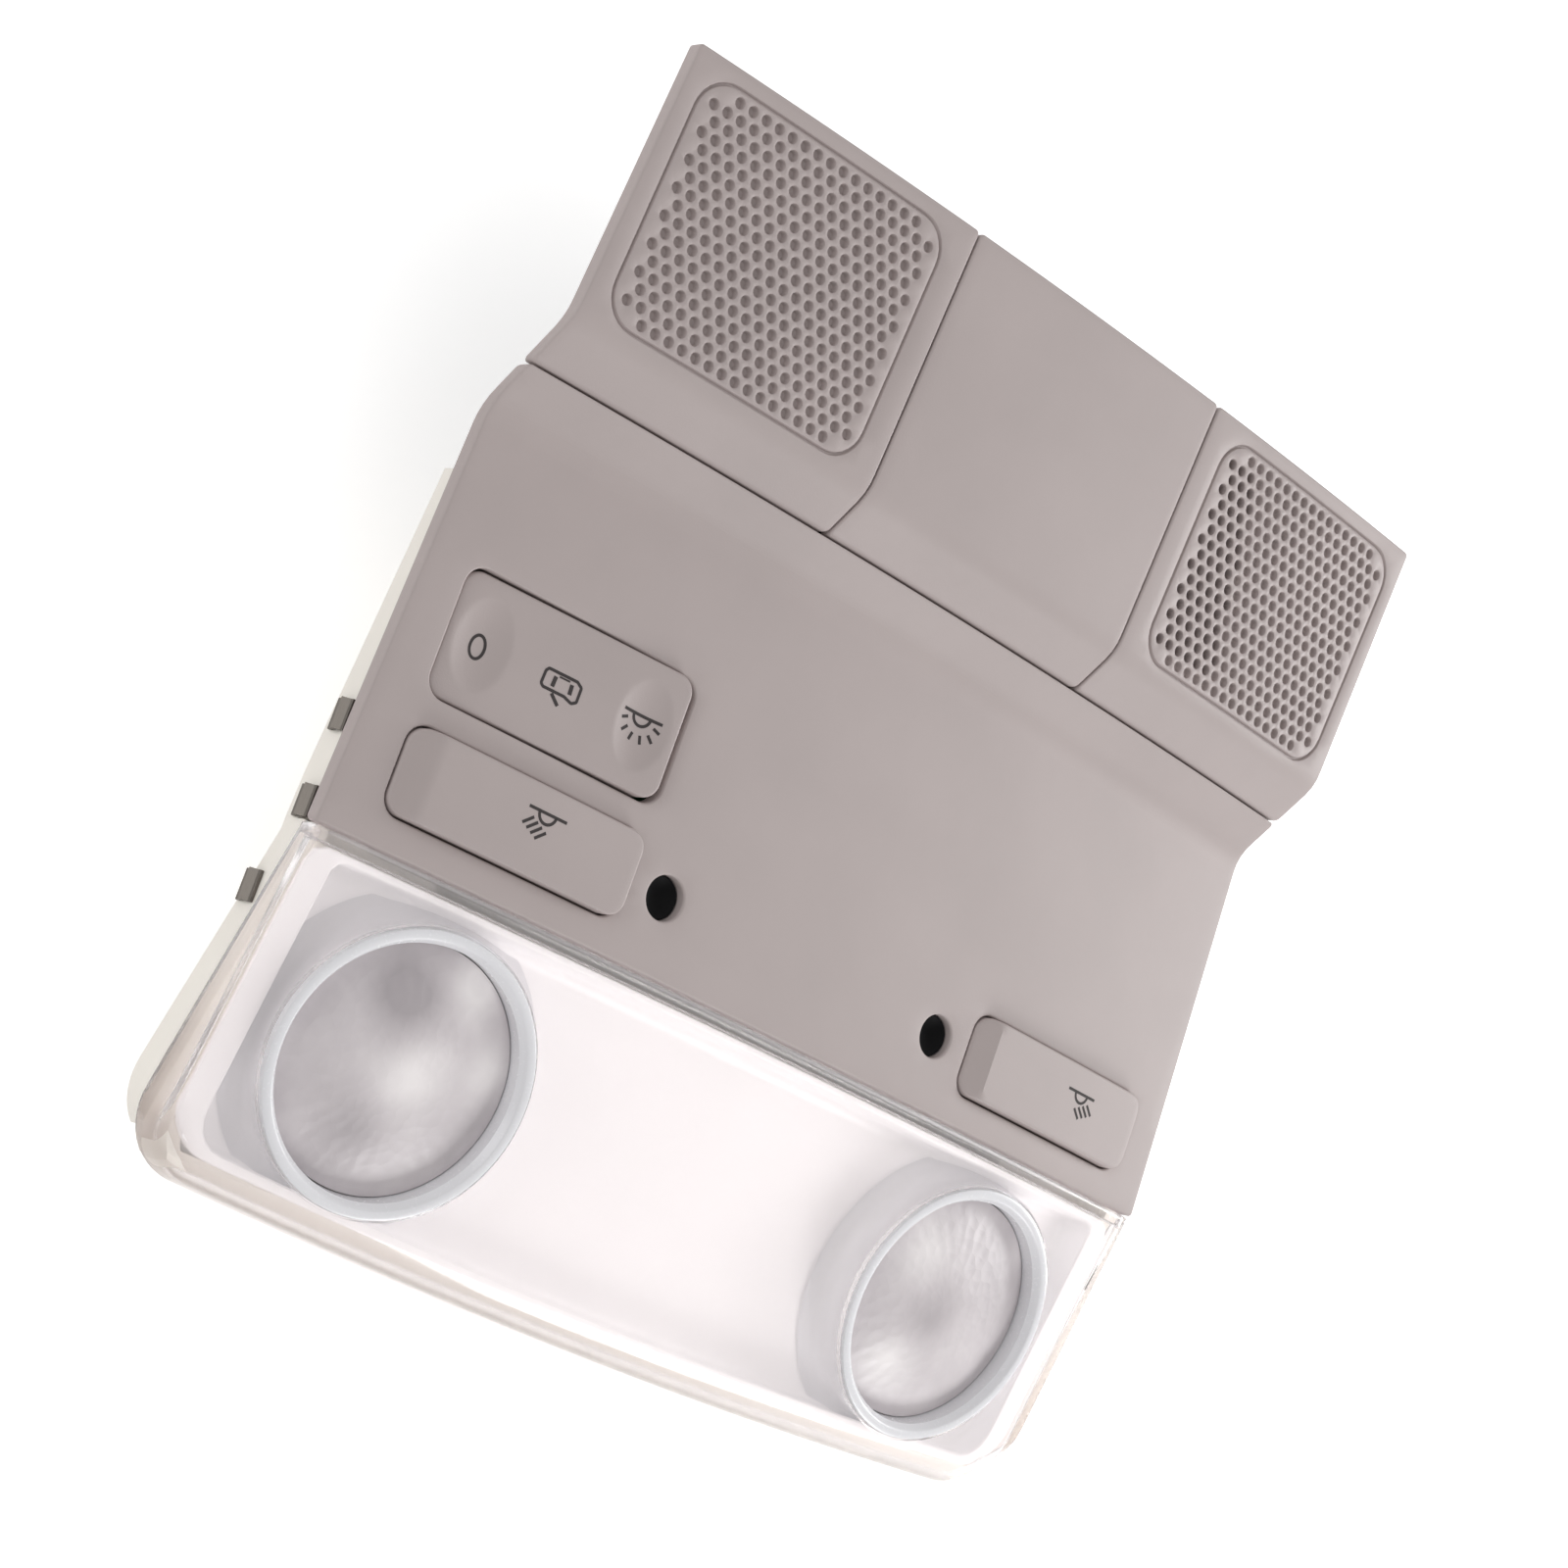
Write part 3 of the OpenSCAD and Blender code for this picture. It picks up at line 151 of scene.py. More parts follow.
def moved_in(loop, d):
    """A closed anticlockwise outline moved inwards by d (one value or one for each point), square to itself."""
    d = np.broadcast_to(np.asarray(d, float), (len(loop),))[:, None]
    a, b = loop - np.roll(loop, 1, axis=0), np.roll(loop, -1, axis=0) - loop
    na = np.c_[-a[:, 1], a[:, 0]] / np.maximum(np.linalg.norm(a, axis=1), 1e-9)[:, None]
    nb = np.c_[-b[:, 1], b[:, 0]] / np.maximum(np.linalg.norm(b, axis=1), 1e-9)[:, None]
    n = na + nb
    return loop + d * n * 2 / np.maximum((n * n).sum(1), 1e-9)[:, None]


def resampled(loop, n):
    """A closed outline with n points, evenly spaced along it from its first point."""
    closed = np.vstack([loop, loop[:1]])
    run = np.r_[0, np.cumsum(np.linalg.norm(np.diff(closed, axis=0), axis=1))]
    at = np.arange(n) * run[-1] / n
    return np.c_[np.interp(at, run, closed[:, 0]), np.interp(at, run, closed[:, 1])]


def half_width(y):
    """Half width of the front at y: two straight tapers that meet at the foot of the step."""
    return np.interp(y, [-10, 0, FOOT_Y, FAR_Y], [PANEL_W / 2, PANEL_W / 2, WAIST_W / 2, FAR_W / 2])


def front_outline(y0, y1, x0=None, x1=None, r=0.8, edge=1.6):
    """Outline of the front between two distances from the lens, with small rounded corners."""
    ys = np.unique([y0, np.clip(FOOT_Y, y0, y1), y1])
    right = np.c_[half_width(ys) if x1 is None else np.full(len(ys), x1), ys]
    left = np.c_[-half_width(ys) if x0 is None else np.full(len(ys), x0), ys][::-1]
    pts = np.vstack([right, left])
    ring = rounded_line(np.vstack([pts[-1:], pts, pts[:1]]), r, 5)[1:-1]
    return divided(ring, edge)


# ------------------------------------------------------------------ meshes

class Solid:
    """Gathers rings, caps and grids as arrays, in millimetres, and writes them into one mesh."""

    def __init__(self):
        self.points, self.faces, self.count = [], [], 0

    def add(self, points, faces):
        """Appends an array of points and an array of faces that count from the first of them."""
        self.points.append(np.asarray(points, float))
        self.faces.append(np.asarray(faces) + self.count)
        self.count += len(points)

    def join(self, other):
        """Takes over everything that another solid has gathered."""
        self.points += other.points
        self.faces += [f + self.count for f in other.faces]
        self.count += other.count

    def rings(self, rings, closed=True):
        """Quads between neighbouring rings that have the same number of points."""
        rings = np.asarray(rings, float)
        m, n = rings.shape[:2]
        i, j = np.meshgrid(np.arange(m - 1), np.arange(n if closed else n - 1), indexing="ij")
        i, j = i.ravel(), j.ravel()
        k = (j + 1) % n
        self.add(rings.reshape(-1, 3), np.c_[i * n + j, i * n + k, (i + 1) * n + k, (i + 1) * n + j])

    def cap(self, outer, holes, height, inside=None, up=True):
        """Triangles that fill an outline round its holes; inside gives more points, height the surface."""
        loops = [outer] + list(holes)
        starts = np.cumsum([0] + [len(p) for p in loops])
        runs = [np.arange(len(p)) + s for p, s in zip(loops, starts)]
        edges = np.vstack([np.c_[run, np.roll(run, -1)] for run in runs])
        flat = np.vstack(loops + ([inside] if inside is not None and len(inside) else []))
        verts, _, tris, _, _, _ = delaunay_2d_cdt(flat.tolist(), edges.tolist(), [], 1, 1e-6)
        verts, tris = np.array(verts, float), np.array(tris)
        middle = verts[tris].mean(1)
        for loop in holes:
            solid_side = ~enclosed(middle, loop)
            tris, middle = tris[solid_side], middle[solid_side]
        a, b, c = verts[tris[:, 0]], verts[tris[:, 1]], verts[tris[:, 2]]
        turn = (b[:, 0] - a[:, 0]) * (c[:, 1] - a[:, 1]) - (b[:, 1] - a[:, 1]) * (c[:, 0] - a[:, 0])
        real = np.abs(turn) > 1e-9
        tris, turn = tris[real], turn[real]
        wrong = (turn < 0) if up else (turn > 0)
        tris[wrong] = tris[wrong][:, ::-1]
        self.add(np.c_[verts, height(verts[:, 0], verts[:, 1])], tris)

    def disc(self, ring, top, up=True):
        """A fan from a ring to one point."""
        n = len(ring)
        tris = np.c_[np.arange(n), np.roll(np.arange(n), -1), np.full(n, n)]
        self.add(np.vstack([ring, [top]]), tris if up else tris[:, ::-1])

    def place(self, matrix):
        """Turns and moves everything gathered so far by a 4 by 4 matrix."""
        self.points = [p @ matrix[:3, :3].T + matrix[:3, 3] for p in self.points]
        return self

    def build(self, name, material, body="console", replaces=(), smooth=40.0):
        """Makes the object in metres, smooth up to an angle in degrees, hangs it under its body's empty and
        hides the solids that it replaces.
        """
        mesh = bpy.data.meshes.new(name)
        faces = sum((f.tolist() for f in self.faces), [])
        mesh.from_pydata((np.vstack(self.points) * MM).tolist(), [], faces)
        merge(mesh)
        mesh.polygons.foreach_set("use_smooth", np.ones(len(mesh.polygons), bool))
        mesh.set_sharp_from_angle(angle=np.radians(smooth))
        mesh.materials.append(material)
        obj = bpy.data.objects.new(name, mesh)
        bpy.context.scene.collection.objects.link(obj)
        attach(obj, body)
        if replaces:
            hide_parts(*replaces)
        return obj


def merge(mesh):
    """Joins points that lie on each other and drops the faces that this closes up."""
    bm = bmesh.new()
    bm.from_mesh(mesh)
    bmesh.ops.remove_doubles(bm, verts=bm.verts, dist=2e-6)
    bmesh.ops.dissolve_degenerate(bm, edges=bm.edges, dist=1e-7)
    bm.to_mesh(mesh)
    bm.free()


def rounding(r, steps=5):
    """Inset and drop of a quarter-round edge: r(1 - sin a) and r(1 - cos a)."""
    a = np.linspace(0, np.pi / 2, steps)
    return list(zip(r * (1 - np.sin(a)), r * (1 - np.cos(a))))


def edge_rings(loop, height, steps):
    """Rings of an outline moved in by each step's inset and lowered by its drop, on the surface's height."""
    out = []
    for inset, drop in steps:
        p = moved_in(loop, inset)
        out.append(np.c_[p, height(p[:, 0], p[:, 1]) - drop])
    return out


def grid_points(xs, ys):
    """Every pair of one value of x and one of y, as rows."""
    x, y = np.meshgrid(xs, ys)
    return np.c_[x.ravel(), y.ravel()]


def enclosed(points, loop):
    """Tells which points a closed outline holds, by the number of its sides that a line along X meets."""
    nxt = np.roll(loop, -1, axis=0)
    x, y = points[:, :1], points[:, 1:2]
    rise = np.where(nxt[:, 1] == loop[:, 1], 1e-12, nxt[:, 1] - loop[:, 1])
    meets = (nxt[:, 0] - loop[:, 0]) * (y - loop[:, 1]) / rise + loop[:, 0]
    crossed = ((loop[:, 1] > y) != (nxt[:, 1] > y)) & (x < meets)
    return crossed.sum(1) % 2 == 1


def within(points, loop, margin):
    """Keeps the points inside a closed outline and farther than margin from it."""
    return points[enclosed(points, loop) & (clearance(points, loop) > margin)]


def outside(points, loop, margin):
    """Keeps the points outside a closed outline and farther than margin from it."""
    return points[~enclosed(points, loop) & (clearance(points, loop) > margin)]


def clearance(points, loop):
    """Distance of each point to the nearest side of a closed outline."""
    nxt = np.roll(loop, -1, axis=0)
    d = nxt - loop
    rel = points[:, None] - loop[None]
    t = np.clip((rel * d).sum(2) / np.maximum((d * d).sum(1), 1e-12), 0, 1)
    return np.linalg.norm(rel - t[..., None] * d[None], axis=2).min(1)


def slab(solid, outer, holes, height, wall, edge, inside, rib=None):
    """A moulding with rounded edges: top cap, quarter-round edges, side walls, underside and rib."""
    rings = edge_rings(outer, height, rounding(edge) + [(0, wall)])
    solid.rings(rings[::-1])
    hole_rings = []
    for loop in holes:
        these = edge_rings(loop, height, [(-i, d) for i, d in rounding(edge)] + [(0, wall)])
        solid.rings(these)
        hole_rings.append(these)
    solid.cap(rings[0][:, :2], [h[0][:, :2] for h in hole_rings], height, inside)
    underside(solid, rings[-1][:, :2], [h[-1][:, :2] for h in hole_rings], height, wall, rib, inside)


def underside(solid, outer, holes, height, wall, rib, inside):
    """The back of a moulding at depth wall, with an open U-shaped rib that stands RIM_H proud of it."""
    loops = holes if rib is None else [rib] + holes
    for loop in loops:
        inside = outside(inside, loop, 0.8)
    solid.cap(outer, loops, lambda x, y: height(x, y) - wall, inside, up=False)
    if rib is None:
        return
    solid.rings(edge_rings(rib, height, [(0, wall), (0, wall + RIM_H - 0.3), (0.3, wall + RIM_H)])[::-1])
    top = moved_in(rib, 0.3)
    solid.cap(top, [], lambda x, y: height(x, y) - wall - RIM_H, up=False)


def rib_outline(y0, y1, x0=None, x1=None, closed_low=True):
    """U-shaped outline of the rib behind a moulding: along its sides and along its near or far edge.

    A side that has no x of its own follows the front's taper at the rib's inset.
    """
    def side(sign, x, ys, inset):
        return np.c_[sign * (half_width(ys) - inset) if x is None else np.full(len(ys), x), ys]
    ys = np.r_[np.arange(y0, y1, 2.5), y1]
    inner = np.clip(ys, y0 + RIM_T, y1) if closed_low else np.clip(ys, y0, y1 - RIM_T)
    left_out, right_out = side(-1, x0, ys, RIM_INSET), side(1, x1, ys, RIM_INSET)
    left_in, right_in = side(-1, x0, inner, RIM_INSET + RIM_T), side(1, x1, inner, RIM_INSET + RIM_T)
    if closed_low:
        loop = np.vstack([left_out[::-1], right_out, right_in[::-1], left_in])
    else:
        loop = np.vstack([right_out, left_out[::-1], left_in, right_in[::-1]])
    keep = np.linalg.norm(loop - np.roll(loop, 1, axis=0), axis=1) > 1e-6
    return divided(loop[keep], 2.5)


def lathe(solid, profile, n=96, wobble=None, place=None):
    """A profile of radius and height turned about Z; a radius of 0 at either end closes it with a fan."""
    if place is not None:
        part = Solid()
        lathe(part, profile, n, wobble)
        solid.join(part.place(place))
        return
    profile = np.asarray(profile, float)
    t = np.arange(n) * 2 * np.pi / n
    ends = [k for k in (0, -1) if profile[k, 0] < 1e-6]
    body = profile[(1 if 0 in ends else 0):(len(profile) - 1 if -1 in ends else len(profile))]
    rings = np.stack([np.c_[r * np.cos(t), r * np.sin(t), np.full(n, z)] for r, z in body])
    if wobble is not None:
        rings[..., 2] += wobble(rings[..., 0], rings[..., 1])
    solid.rings(rings)
    if 0 in ends:
        solid.disc(rings[0], (0, 0, profile[0, 1] + (wobble(0.0, 0.0) if wobble else 0)), up=False)
    if -1 in ends:
        solid.disc(rings[-1], (0, 0, profile[-1, 1] + (wobble(0.0, 0.0) if wobble else 0)))


def turned(axis, angle):
    """A 4 by 4 matrix of a turn about X or Y."""
    c, s = np.cos(angle), np.sin(angle)
    m = np.eye(4)
    m[:3, :3] = [[1, 0, 0], [0, c, -s], [0, s, c]] if axis == "X" else [[c, 0, s], [0, 1, 0], [-s, 0, c]]
    return m


def shifted(x, y, z):
    """A 4 by 4 matrix of a move."""
    m = np.eye(4)
    m[:3, 3] = x, y, z
    return m


def lamp_place(side):
    """Frame of a reading lamp: origin on the lens, Z out of the lamp."""
    lean = turned("Y", side * np.arcsin(LAMP_X / CROWN_R))
    return shifted(side * LAMP_X, -LAMP_Y, lens_face(LAMP_X, -LAMP_Y)) @ lean @ turned("X", LENS_PITCH)


def rocker_place():
    """Frame of the rocker's pivot, turned to its first position."""
    return shifted(-ROCKER_X, ROCKER_Y, PIVOT_Z) @ turned("Y", -ROCKER_SWING)


def cap_lean():
    """Turn of the rocker's cap about its pivot that lays it along the crown."""
    return turned("Y", -np.arcsin(ROCKER_X / CROWN_R))


def mesh_points(mesh):
    """Points of a mesh as rows, in millimetres."""
    flat = np.empty(3 * len(mesh.vertices))
    mesh.vertices.foreach_get("co", flat)
    return flat.reshape(-1, 3) / MM


def store(mesh, name, value):
    """Writes one number for each point into an attribute that a material reads."""
    mesh.attributes.new(name, "FLOAT", "POINT").data.foreach_set("value", value)


# ------------------------------------------------------------------ finishes

def new_material(name):
    """A node material with its tree and its Principled shader."""
    mat = bpy.data.materials.new(name)
    mat.use_nodes = True
    nodes = mat.node_tree.nodes
    shader = next(n for n in nodes if n.type == "BSDF_PRINCIPLED")
    return mat, mat.node_tree, shader


def set_sockets(shader, **values):
    """Sets a shader's sockets by name, with underscores for spaces."""
    for key, value in values.items():
        shader.inputs[key.replace("_", " ")].default_value = value


def noise(tree, scale, detail=3.0, rough=0.5, stretch=None):
    """Noise on Object coordinates, optionally stretched by a Mapping node."""
    coord = tree.nodes.new("ShaderNodeTexCoord")
    tex = tree.nodes.new("ShaderNodeTexNoise")
    tex.inputs["Scale"].default_value = scale
    tex.inputs["Detail"].default_value = detail
    tex.inputs["Roughness"].default_value = rough
    if stretch:
        mapping = tree.nodes.new("ShaderNodeMapping")
        mapping.inputs["Scale"].default_value = stretch
        tree.links.new(coord.outputs["Object"], mapping.inputs["Vector"])
        tree.links.new(mapping.outputs["Vector"], tex.inputs["Vector"])
    else:
        tree.links.new(coord.outputs["Object"], tex.inputs["Vector"])
    return tex.outputs["Fac"]


def ramp(tree, value, stops):
    """Colour Ramp over pairs of position and colour."""
    node = tree.nodes.new("ShaderNodeValToRGB")
    elements = node.color_ramp.elements
    for element, (position, colour) in zip(elements, (stops[0], stops[-1])):
        element.position, element.color = position, (*colour, 1)
    for position, colour in stops[1:-1]:
        elements.new(position).color = (*colour, 1)
    tree.links.new(value, node.inputs["Fac"])
    return node.outputs["Color"]


def bump(tree, shader, height, strength, distance):
    """Bump from a height, as deep as distance in metres, on the shader's normal."""
    node = tree.nodes.new("ShaderNodeBump")
    node.inputs["Strength"].default_value = strength
    node.inputs["Distance"].default_value = distance
    tree.links.new(height, node.inputs["Height"])
    tree.links.new(node.outputs["Normal"], shader.inputs["Normal"])


def span(tree, value, low, high):
    """A value from 0 to 1 spread between two others."""
    node = tree.nodes.new("ShaderNodeMapRange")
    node.inputs["To Min"].default_value, node.inputs["To Max"].default_value = low, high
    tree.links.new(value, node.inputs["Value"])
    return node.outputs["Result"]


def math_node(tree, operation, *values):
    """Math node fed with sockets or plain numbers, in the order of its inputs."""
    node = tree.nodes.new("ShaderNodeMath")
    node.operation = operation
    for socket, value in zip(node.inputs, values):
        if isinstance(value, float):
            socket.default_value = value
        else:
            tree.links.new(value, socket)
    return node.outputs[0]


def attribute(tree, name):
    """The number that a mesh holds for each of its points under a name."""
    node = tree.nodes.new("ShaderNodeAttribute")
    node.attribute_name = name
    return node.outputs["Fac"]


def drift(tree, value, colour, spread):
    """A colour that a value between 0.3 and 0.7 takes from a little darker to a little lighter."""
    low, high = (tuple(c * factor for c in colour) for factor in (1 - spread, 1 + spread))
    return ramp(tree, value, [(0.3, low), (0.7, high)])


def moulded(name, colour, rough, grain, depth, spread=0.03, sheen=0.5):
    """Spark-eroded moulded plastic: fine grain in the bump, a faint drift of colour and gloss."""
    mat, tree, shader = new_material(name)
    tree.links.new(drift(tree, noise(tree, 45.0, 4.0), colour, spread), shader.inputs["Base Color"])
    gloss = noise(tree, grain * 0.4, 2.0)
    tree.links.new(span(tree, gloss, rough - 0.05, rough + 0.05), shader.inputs["Roughness"])
    bump(tree, shader, noise(tree, grain, 3.0, 0.6), 0.35, depth)
    set_sockets(shader, Specular_IOR_Level=sheen)
    return mat


def diffuser(name, colour):
    """White plastic with a painted glow: a little emission of its own that lightens its shade, though it is no
    lamp.
    """
    mat = moulded(name, colour, 0.35, 600.0, 0.00001, 0.01)
    shader = next(n for n in mat.node_tree.nodes if n.type == "BSDF_PRINCIPLED")
    # Painted glow: a faint emission that lifts the shade on the tray and on the plungers in this finish
    set_sockets(shader, Emission_Color=(1.0, 0.99, 1.0, 1), Emission_Strength=0.14)
    return mat


def metal(name, colour, rough, stretch=(1, 1, 1), spread=0.08):
    """Sheet or turned metal with faint drawn lines."""
    mat, tree, shader = new_material(name)
    lines = noise(tree, 900.0, 4.0, 0.6, stretch)
    tree.links.new(drift(tree, lines, colour, spread), shader.inputs["Base Color"])
    tree.links.new(span(tree, lines, rough - 0.06, rough + 0.06), shader.inputs["Roughness"])
    bump(tree, shader, lines, 0.15, 0.00003)
    set_sockets(shader, Metallic=1.0)
    return mat


def clear(name, colour, rough, see_through, haze=0.0, rim_shade_colour=None):
    """Clear plastic: refracting shader, milky by its haze, with painted shade: a deeper tone where the
    attribute rim is 1.
    """
    mat, tree, shader = new_material(name)
    set_sockets(shader, Base_Color=(*colour, 1), Transmission_Weight=1.0 - haze, IOR=1.49)
    if rim_shade_colour:
        # Painted shade: the base colour runs to the darker rim tone where the attribute rim is 1
        tone = ramp(tree, attribute(tree, "rim"), [(0.0, colour), (1.0, rim_shade_colour)])
        tree.links.new(tone, shader.inputs["Base Color"])
    tree.links.new(span(tree, noise(tree, 300.0, 2.0), rough, rough + 0.02), shader.inputs["Roughness"])
    path = tree.nodes.new("ShaderNodeLightPath")
    mix = tree.nodes.new("ShaderNodeMixShader")
    pass_light = tree.nodes.new("ShaderNodeBsdfTransparent")
    pass_light.inputs["Color"].default_value = (see_through, see_through, see_through, 1)
    out = next(n for n in tree.nodes if n.type == "OUTPUT_MATERIAL")
    tree.links.new(path.outputs["Is Shadow Ray"], mix.inputs["Fac"])
    tree.links.new(shader.outputs["BSDF"], mix.inputs[1])
    tree.links.new(pass_light.outputs["BSDF"], mix.inputs[2])
    tree.links.new(mix.outputs["Shader"], out.inputs["Surface"])
    return mat


def rippled_lens(name, colours):
    """Frosted reading lens: painted highlights and shade from the mesh's fields, a drift of cloud, small cells
    in the bump.
    """
    mat, tree, shader = new_material(name)
    clouds = math_node(tree, "MULTIPLY_ADD", noise(tree, 110.0), 0.35, -0.175)
    # Painted highlights and shade from the stored fields, with a random drift of cloud
    light = math_node(tree, "ADD", attribute(tree, "painted_shine"), clouds)
    tree.links.new(ramp(tree, light, list(zip((0.1, 0.5, 0.9), colours))), shader.inputs["Base Color"])
    coord = tree.nodes.new("ShaderNodeTexCoord")
    cells = tree.nodes.new("ShaderNodeTexVoronoi")
    cells.inputs["Scale"].default_value = 520.0
    tree.links.new(coord.outputs["Object"], cells.inputs["Vector"])
    bump(tree, shader, cells.outputs["Distance"], 0.22, 0.0004)
    set_sockets(shader, Roughness=0.42, Specular_IOR_Level=0.5)
    return mat


def finishes():
    """Every finish of the part, made once and kept by name."""
    if FINISH:
        return FINISH
    s = bpy.context.scene.dome_light
    FINISH.update({
        "panel": moulded("Panel grey plastic", tuple(s.panel_colour), 0.52, 3200.0, 0.00006),
        "housing": moulded("Housing cream plastic", tuple(s.housing_colour), 0.42, 1500.0, 0.00003),
        "tray": diffuser("Tray white plastic", tuple(s.tray_colour)),
        "black": moulded("Black plastic", (0.007, 0.007, 0.008), 0.45, 2500.0, 0.00004, 0.1, 0.25),
        "black_gloss": moulded("Ambient light cap", (0.004, 0.004, 0.0045), 0.6, 900.0, 0.00001, 0.1, 0.12),
        "silver": moulded("Collar silver paint", tuple(s.collar_colour), 0.26, 4200.0, 0.00001, 0.02),
        "mirror": metal("Bowl mirror", (0.82, 0.82, 0.84), 0.12),
        "steel": metal("Spring steel", (0.16, 0.145, 0.13), 0.45, (1, 1, 8)),
        "brass": metal("Contact brass", (0.60, 0.44, 0.20), 0.3, (1, 8, 1)),
        "board": moulded("Coated board", (0.02, 0.11, 0.045), 0.3, 1800.0, 0.00003, 0.15),
        # Clear lens: its front skirt gets a painted shade, darker and warmer than the clear plastic
        "clear": clear("Clear lens plastic", (0.945, 0.915, 0.915), 0.10, 0.97, haze=0.12,
                       rim_shade_colour=(0.66, 0.60, 0.58)),
        "bulb": clear("Bulb glass", (0.97, 0.98, 0.98), 0.0, 0.9),
        # Reading lens colours: painted shade, the lens's own tone, painted highlight
        "reading": rippled_lens("Rippled reading lens",
                                [(0.42, 0.385, 0.40), (0.64, 0.595, 0.61), (0.90, 0.86, 0.86)]),
        "ink": moulded("Sign ink", (0.055, 0.048, 0.048), 0.6, 3000.0, 0.00002, 0.08, 0.2),
    })
    return FINISH


FINISH = {}


# ------------------------------------------------------------------ settings

class DomeLightSettings(bpy.types.PropertyGroup):
    """Colours and sizes that a user would change"""
    panel_colour: FloatVectorProperty(name="Panel", description="Colour of the panel and covers",
                                      subtype="COLOR", size=3, min=0, max=1, default=(0.45, 0.39, 0.38))
    housing_colour: FloatVectorProperty(name="Housing", description="Colour of the back housing",
                                        subtype="COLOR", size=3, min=0, max=1, default=(0.94, 0.90, 0.83))
    tray_colour: FloatVectorProperty(name="Tray", description="Colour of the diffuser tray",
                                     subtype="COLOR", size=3, min=0, max=1, default=(0.92, 0.905, 0.91))
    collar_colour: FloatVectorProperty(name="Collars", description="Colour of the lamp collars",
                                       subtype="COLOR", size=3, min=0, max=1, default=(0.80, 0.80, 0.825))
    edge_r: FloatProperty(name="Edge radius", description="Radius of the moulded edges",
                          subtype="DISTANCE", unit="LENGTH", min=0.0001, max=0.001, default=0.00045)
    hole_r: FloatProperty(name="Grille hole radius", description="Radius of a grille hole",
                          subtype="DISTANCE", unit="LENGTH", min=0.0006, max=0.0011, default=0.00095)
    hole_depth: FloatProperty(name="Grille hole depth", description="Depth of a blind grille hole",
                              subtype="DISTANCE", unit="LENGTH", min=0.0003, max=0.002, default=0.0011)
    lamp_strength: FloatProperty(name="Lamp strength", description="Strength of the studio lamps",
                                 min=0, default=1.0)
    floor_brightness: FloatProperty(name="Floor brightness", description="Brightness of the floor",
                                    min=0, max=1, default=1.0)


def settings():
    """The scene's own values of the settings."""
    return bpy.context.scene.dome_light


# ------------------------------------------------------------------ pieces

def fine_rows(y0, y1):
    """Distances from the lens for rows of points: close together in the bends of the step, wider elsewhere."""
    ys = [np.arange(y0, y1, 3.0), np.arange(FOOT_Y - 5, FOOT_Y + 5, 0.8), np.arange(TOP_Y - 5, TOP_Y + 6, 0.8),
          np.arange(FOOT_Y + 4, TOP_Y - 4, 1.6)]
    ys = np.unique(np.round(np.concatenate(ys), 1))
    return ys[(ys > y0) & (ys < y1)]


class DOMELIGHT_OT_panel(bpy.types.Operator):
    """Main panel: crowned face with the lower half of the step and its cut-outs"""
    bl_idname = "dome_light.panel"
    bl_label = "Main Panel"

    def execute(self, context):
        edge = settings().edge_r / MM
        outer = front_outline(0, SEAM_Y - SEAM_GAP / 2)
        holes = [rounded_box(ROCKER_L + 2 * ROCKER_GAP, ROCKER_W + 2 * ROCKER_GAP, ROCKER_CORNER + ROCKER_GAP,
                             -ROCKER_X, ROCKER_Y)]
        for side in (LEFT, RIGHT):
            holes.append(rounded_box(BUTTON_L + 2 * BUTTON_GAP, BUTTON_W + 2 * BUTTON_GAP,
                                     BUTTON_CORNER + BUTTON_GAP, side * BUTTON_X, BUTTON_Y))
            holes.append(circle(AMBIENT_R, side * AMBIENT_X, AMBIENT_Y))
        points = within(grid_points(np.arange(-94, 95, 2.5), fine_rows(0, SEAM_Y)), outer, edge + 0.6)
        for loop in holes:
            points = outside(points, loop, edge + 0.6)
        solid = Solid()
        slab(solid, outer, holes, face, WALL, edge, points, rib_outline(0.05, SEAM_Y - SEAM_GAP / 2 - 0.05))
        lined = AMBIENT_R + 1.4
        tube = [(AMBIENT_R, 0), (AMBIENT_R, -RIM_H), (lined - 0.3, -RIM_H), (lined, -RIM_H + 0.3), (lined, 0.5),
                (AMBIENT_R, 0)]
        foot, top = SHELF_Z + 2.3, crown(FACE_Z, SCREW_X) - WALL + 0.8
        post = [(POST_BORE, foot), (POST_R - 0.3, foot), (POST_R, foot + 0.3), (POST_R, top), (POST_BORE, top),
                (POST_BORE, foot)]
        for side in (LEFT, RIGHT):
            z = crown(FACE_Z, AMBIENT_X) - WALL
            lathe(solid, tube, 40, place=shifted(side * AMBIENT_X, AMBIENT_Y, z))
            lathe(solid, post, 32, place=shifted(side * SCREW_X, SCREW_Y, 0))
        solid.build("panel_moulding", finishes()["panel"], replaces=["main_panel"])
        return {"FINISHED"}


def grille_centres():
    """Hole centres from a grille's middle: rows along X in a hexagon pattern, inside a rounded rectangle."""
    row = HOLE_PITCH * np.sin(np.pi / 3)
    r = settings().hole_r / MM
    j, i = np.meshgrid(np.arange(-12, 13), np.arange(-12, 13), indexing="ij")
    p = np.c_[((i + (np.abs(j) % 2) / 2) * HOLE_PITCH).ravel(), (j * row).ravel()]
    out = np.maximum(np.abs(p) - (GRILLE_W / 2 - GRILLE_R, GRILLE_L / 2 - GRILLE_R), 0)
    return p[np.linalg.norm(out, axis=1) <= GRILLE_R - r - HOLE_MARGIN]


def over_microphone(p):
    """Whether a hole of the right grille is open: a slanted band along its inner edge."""
    edge = MIC_WINDOW - 0.25 * (p[:, 1] + GRILLE_L / 2) + 6
    return (p[:, 0] + GRILLE_W / 2 < edge) & (np.abs(p[:, 1]) < GRILLE_L * 0.42)


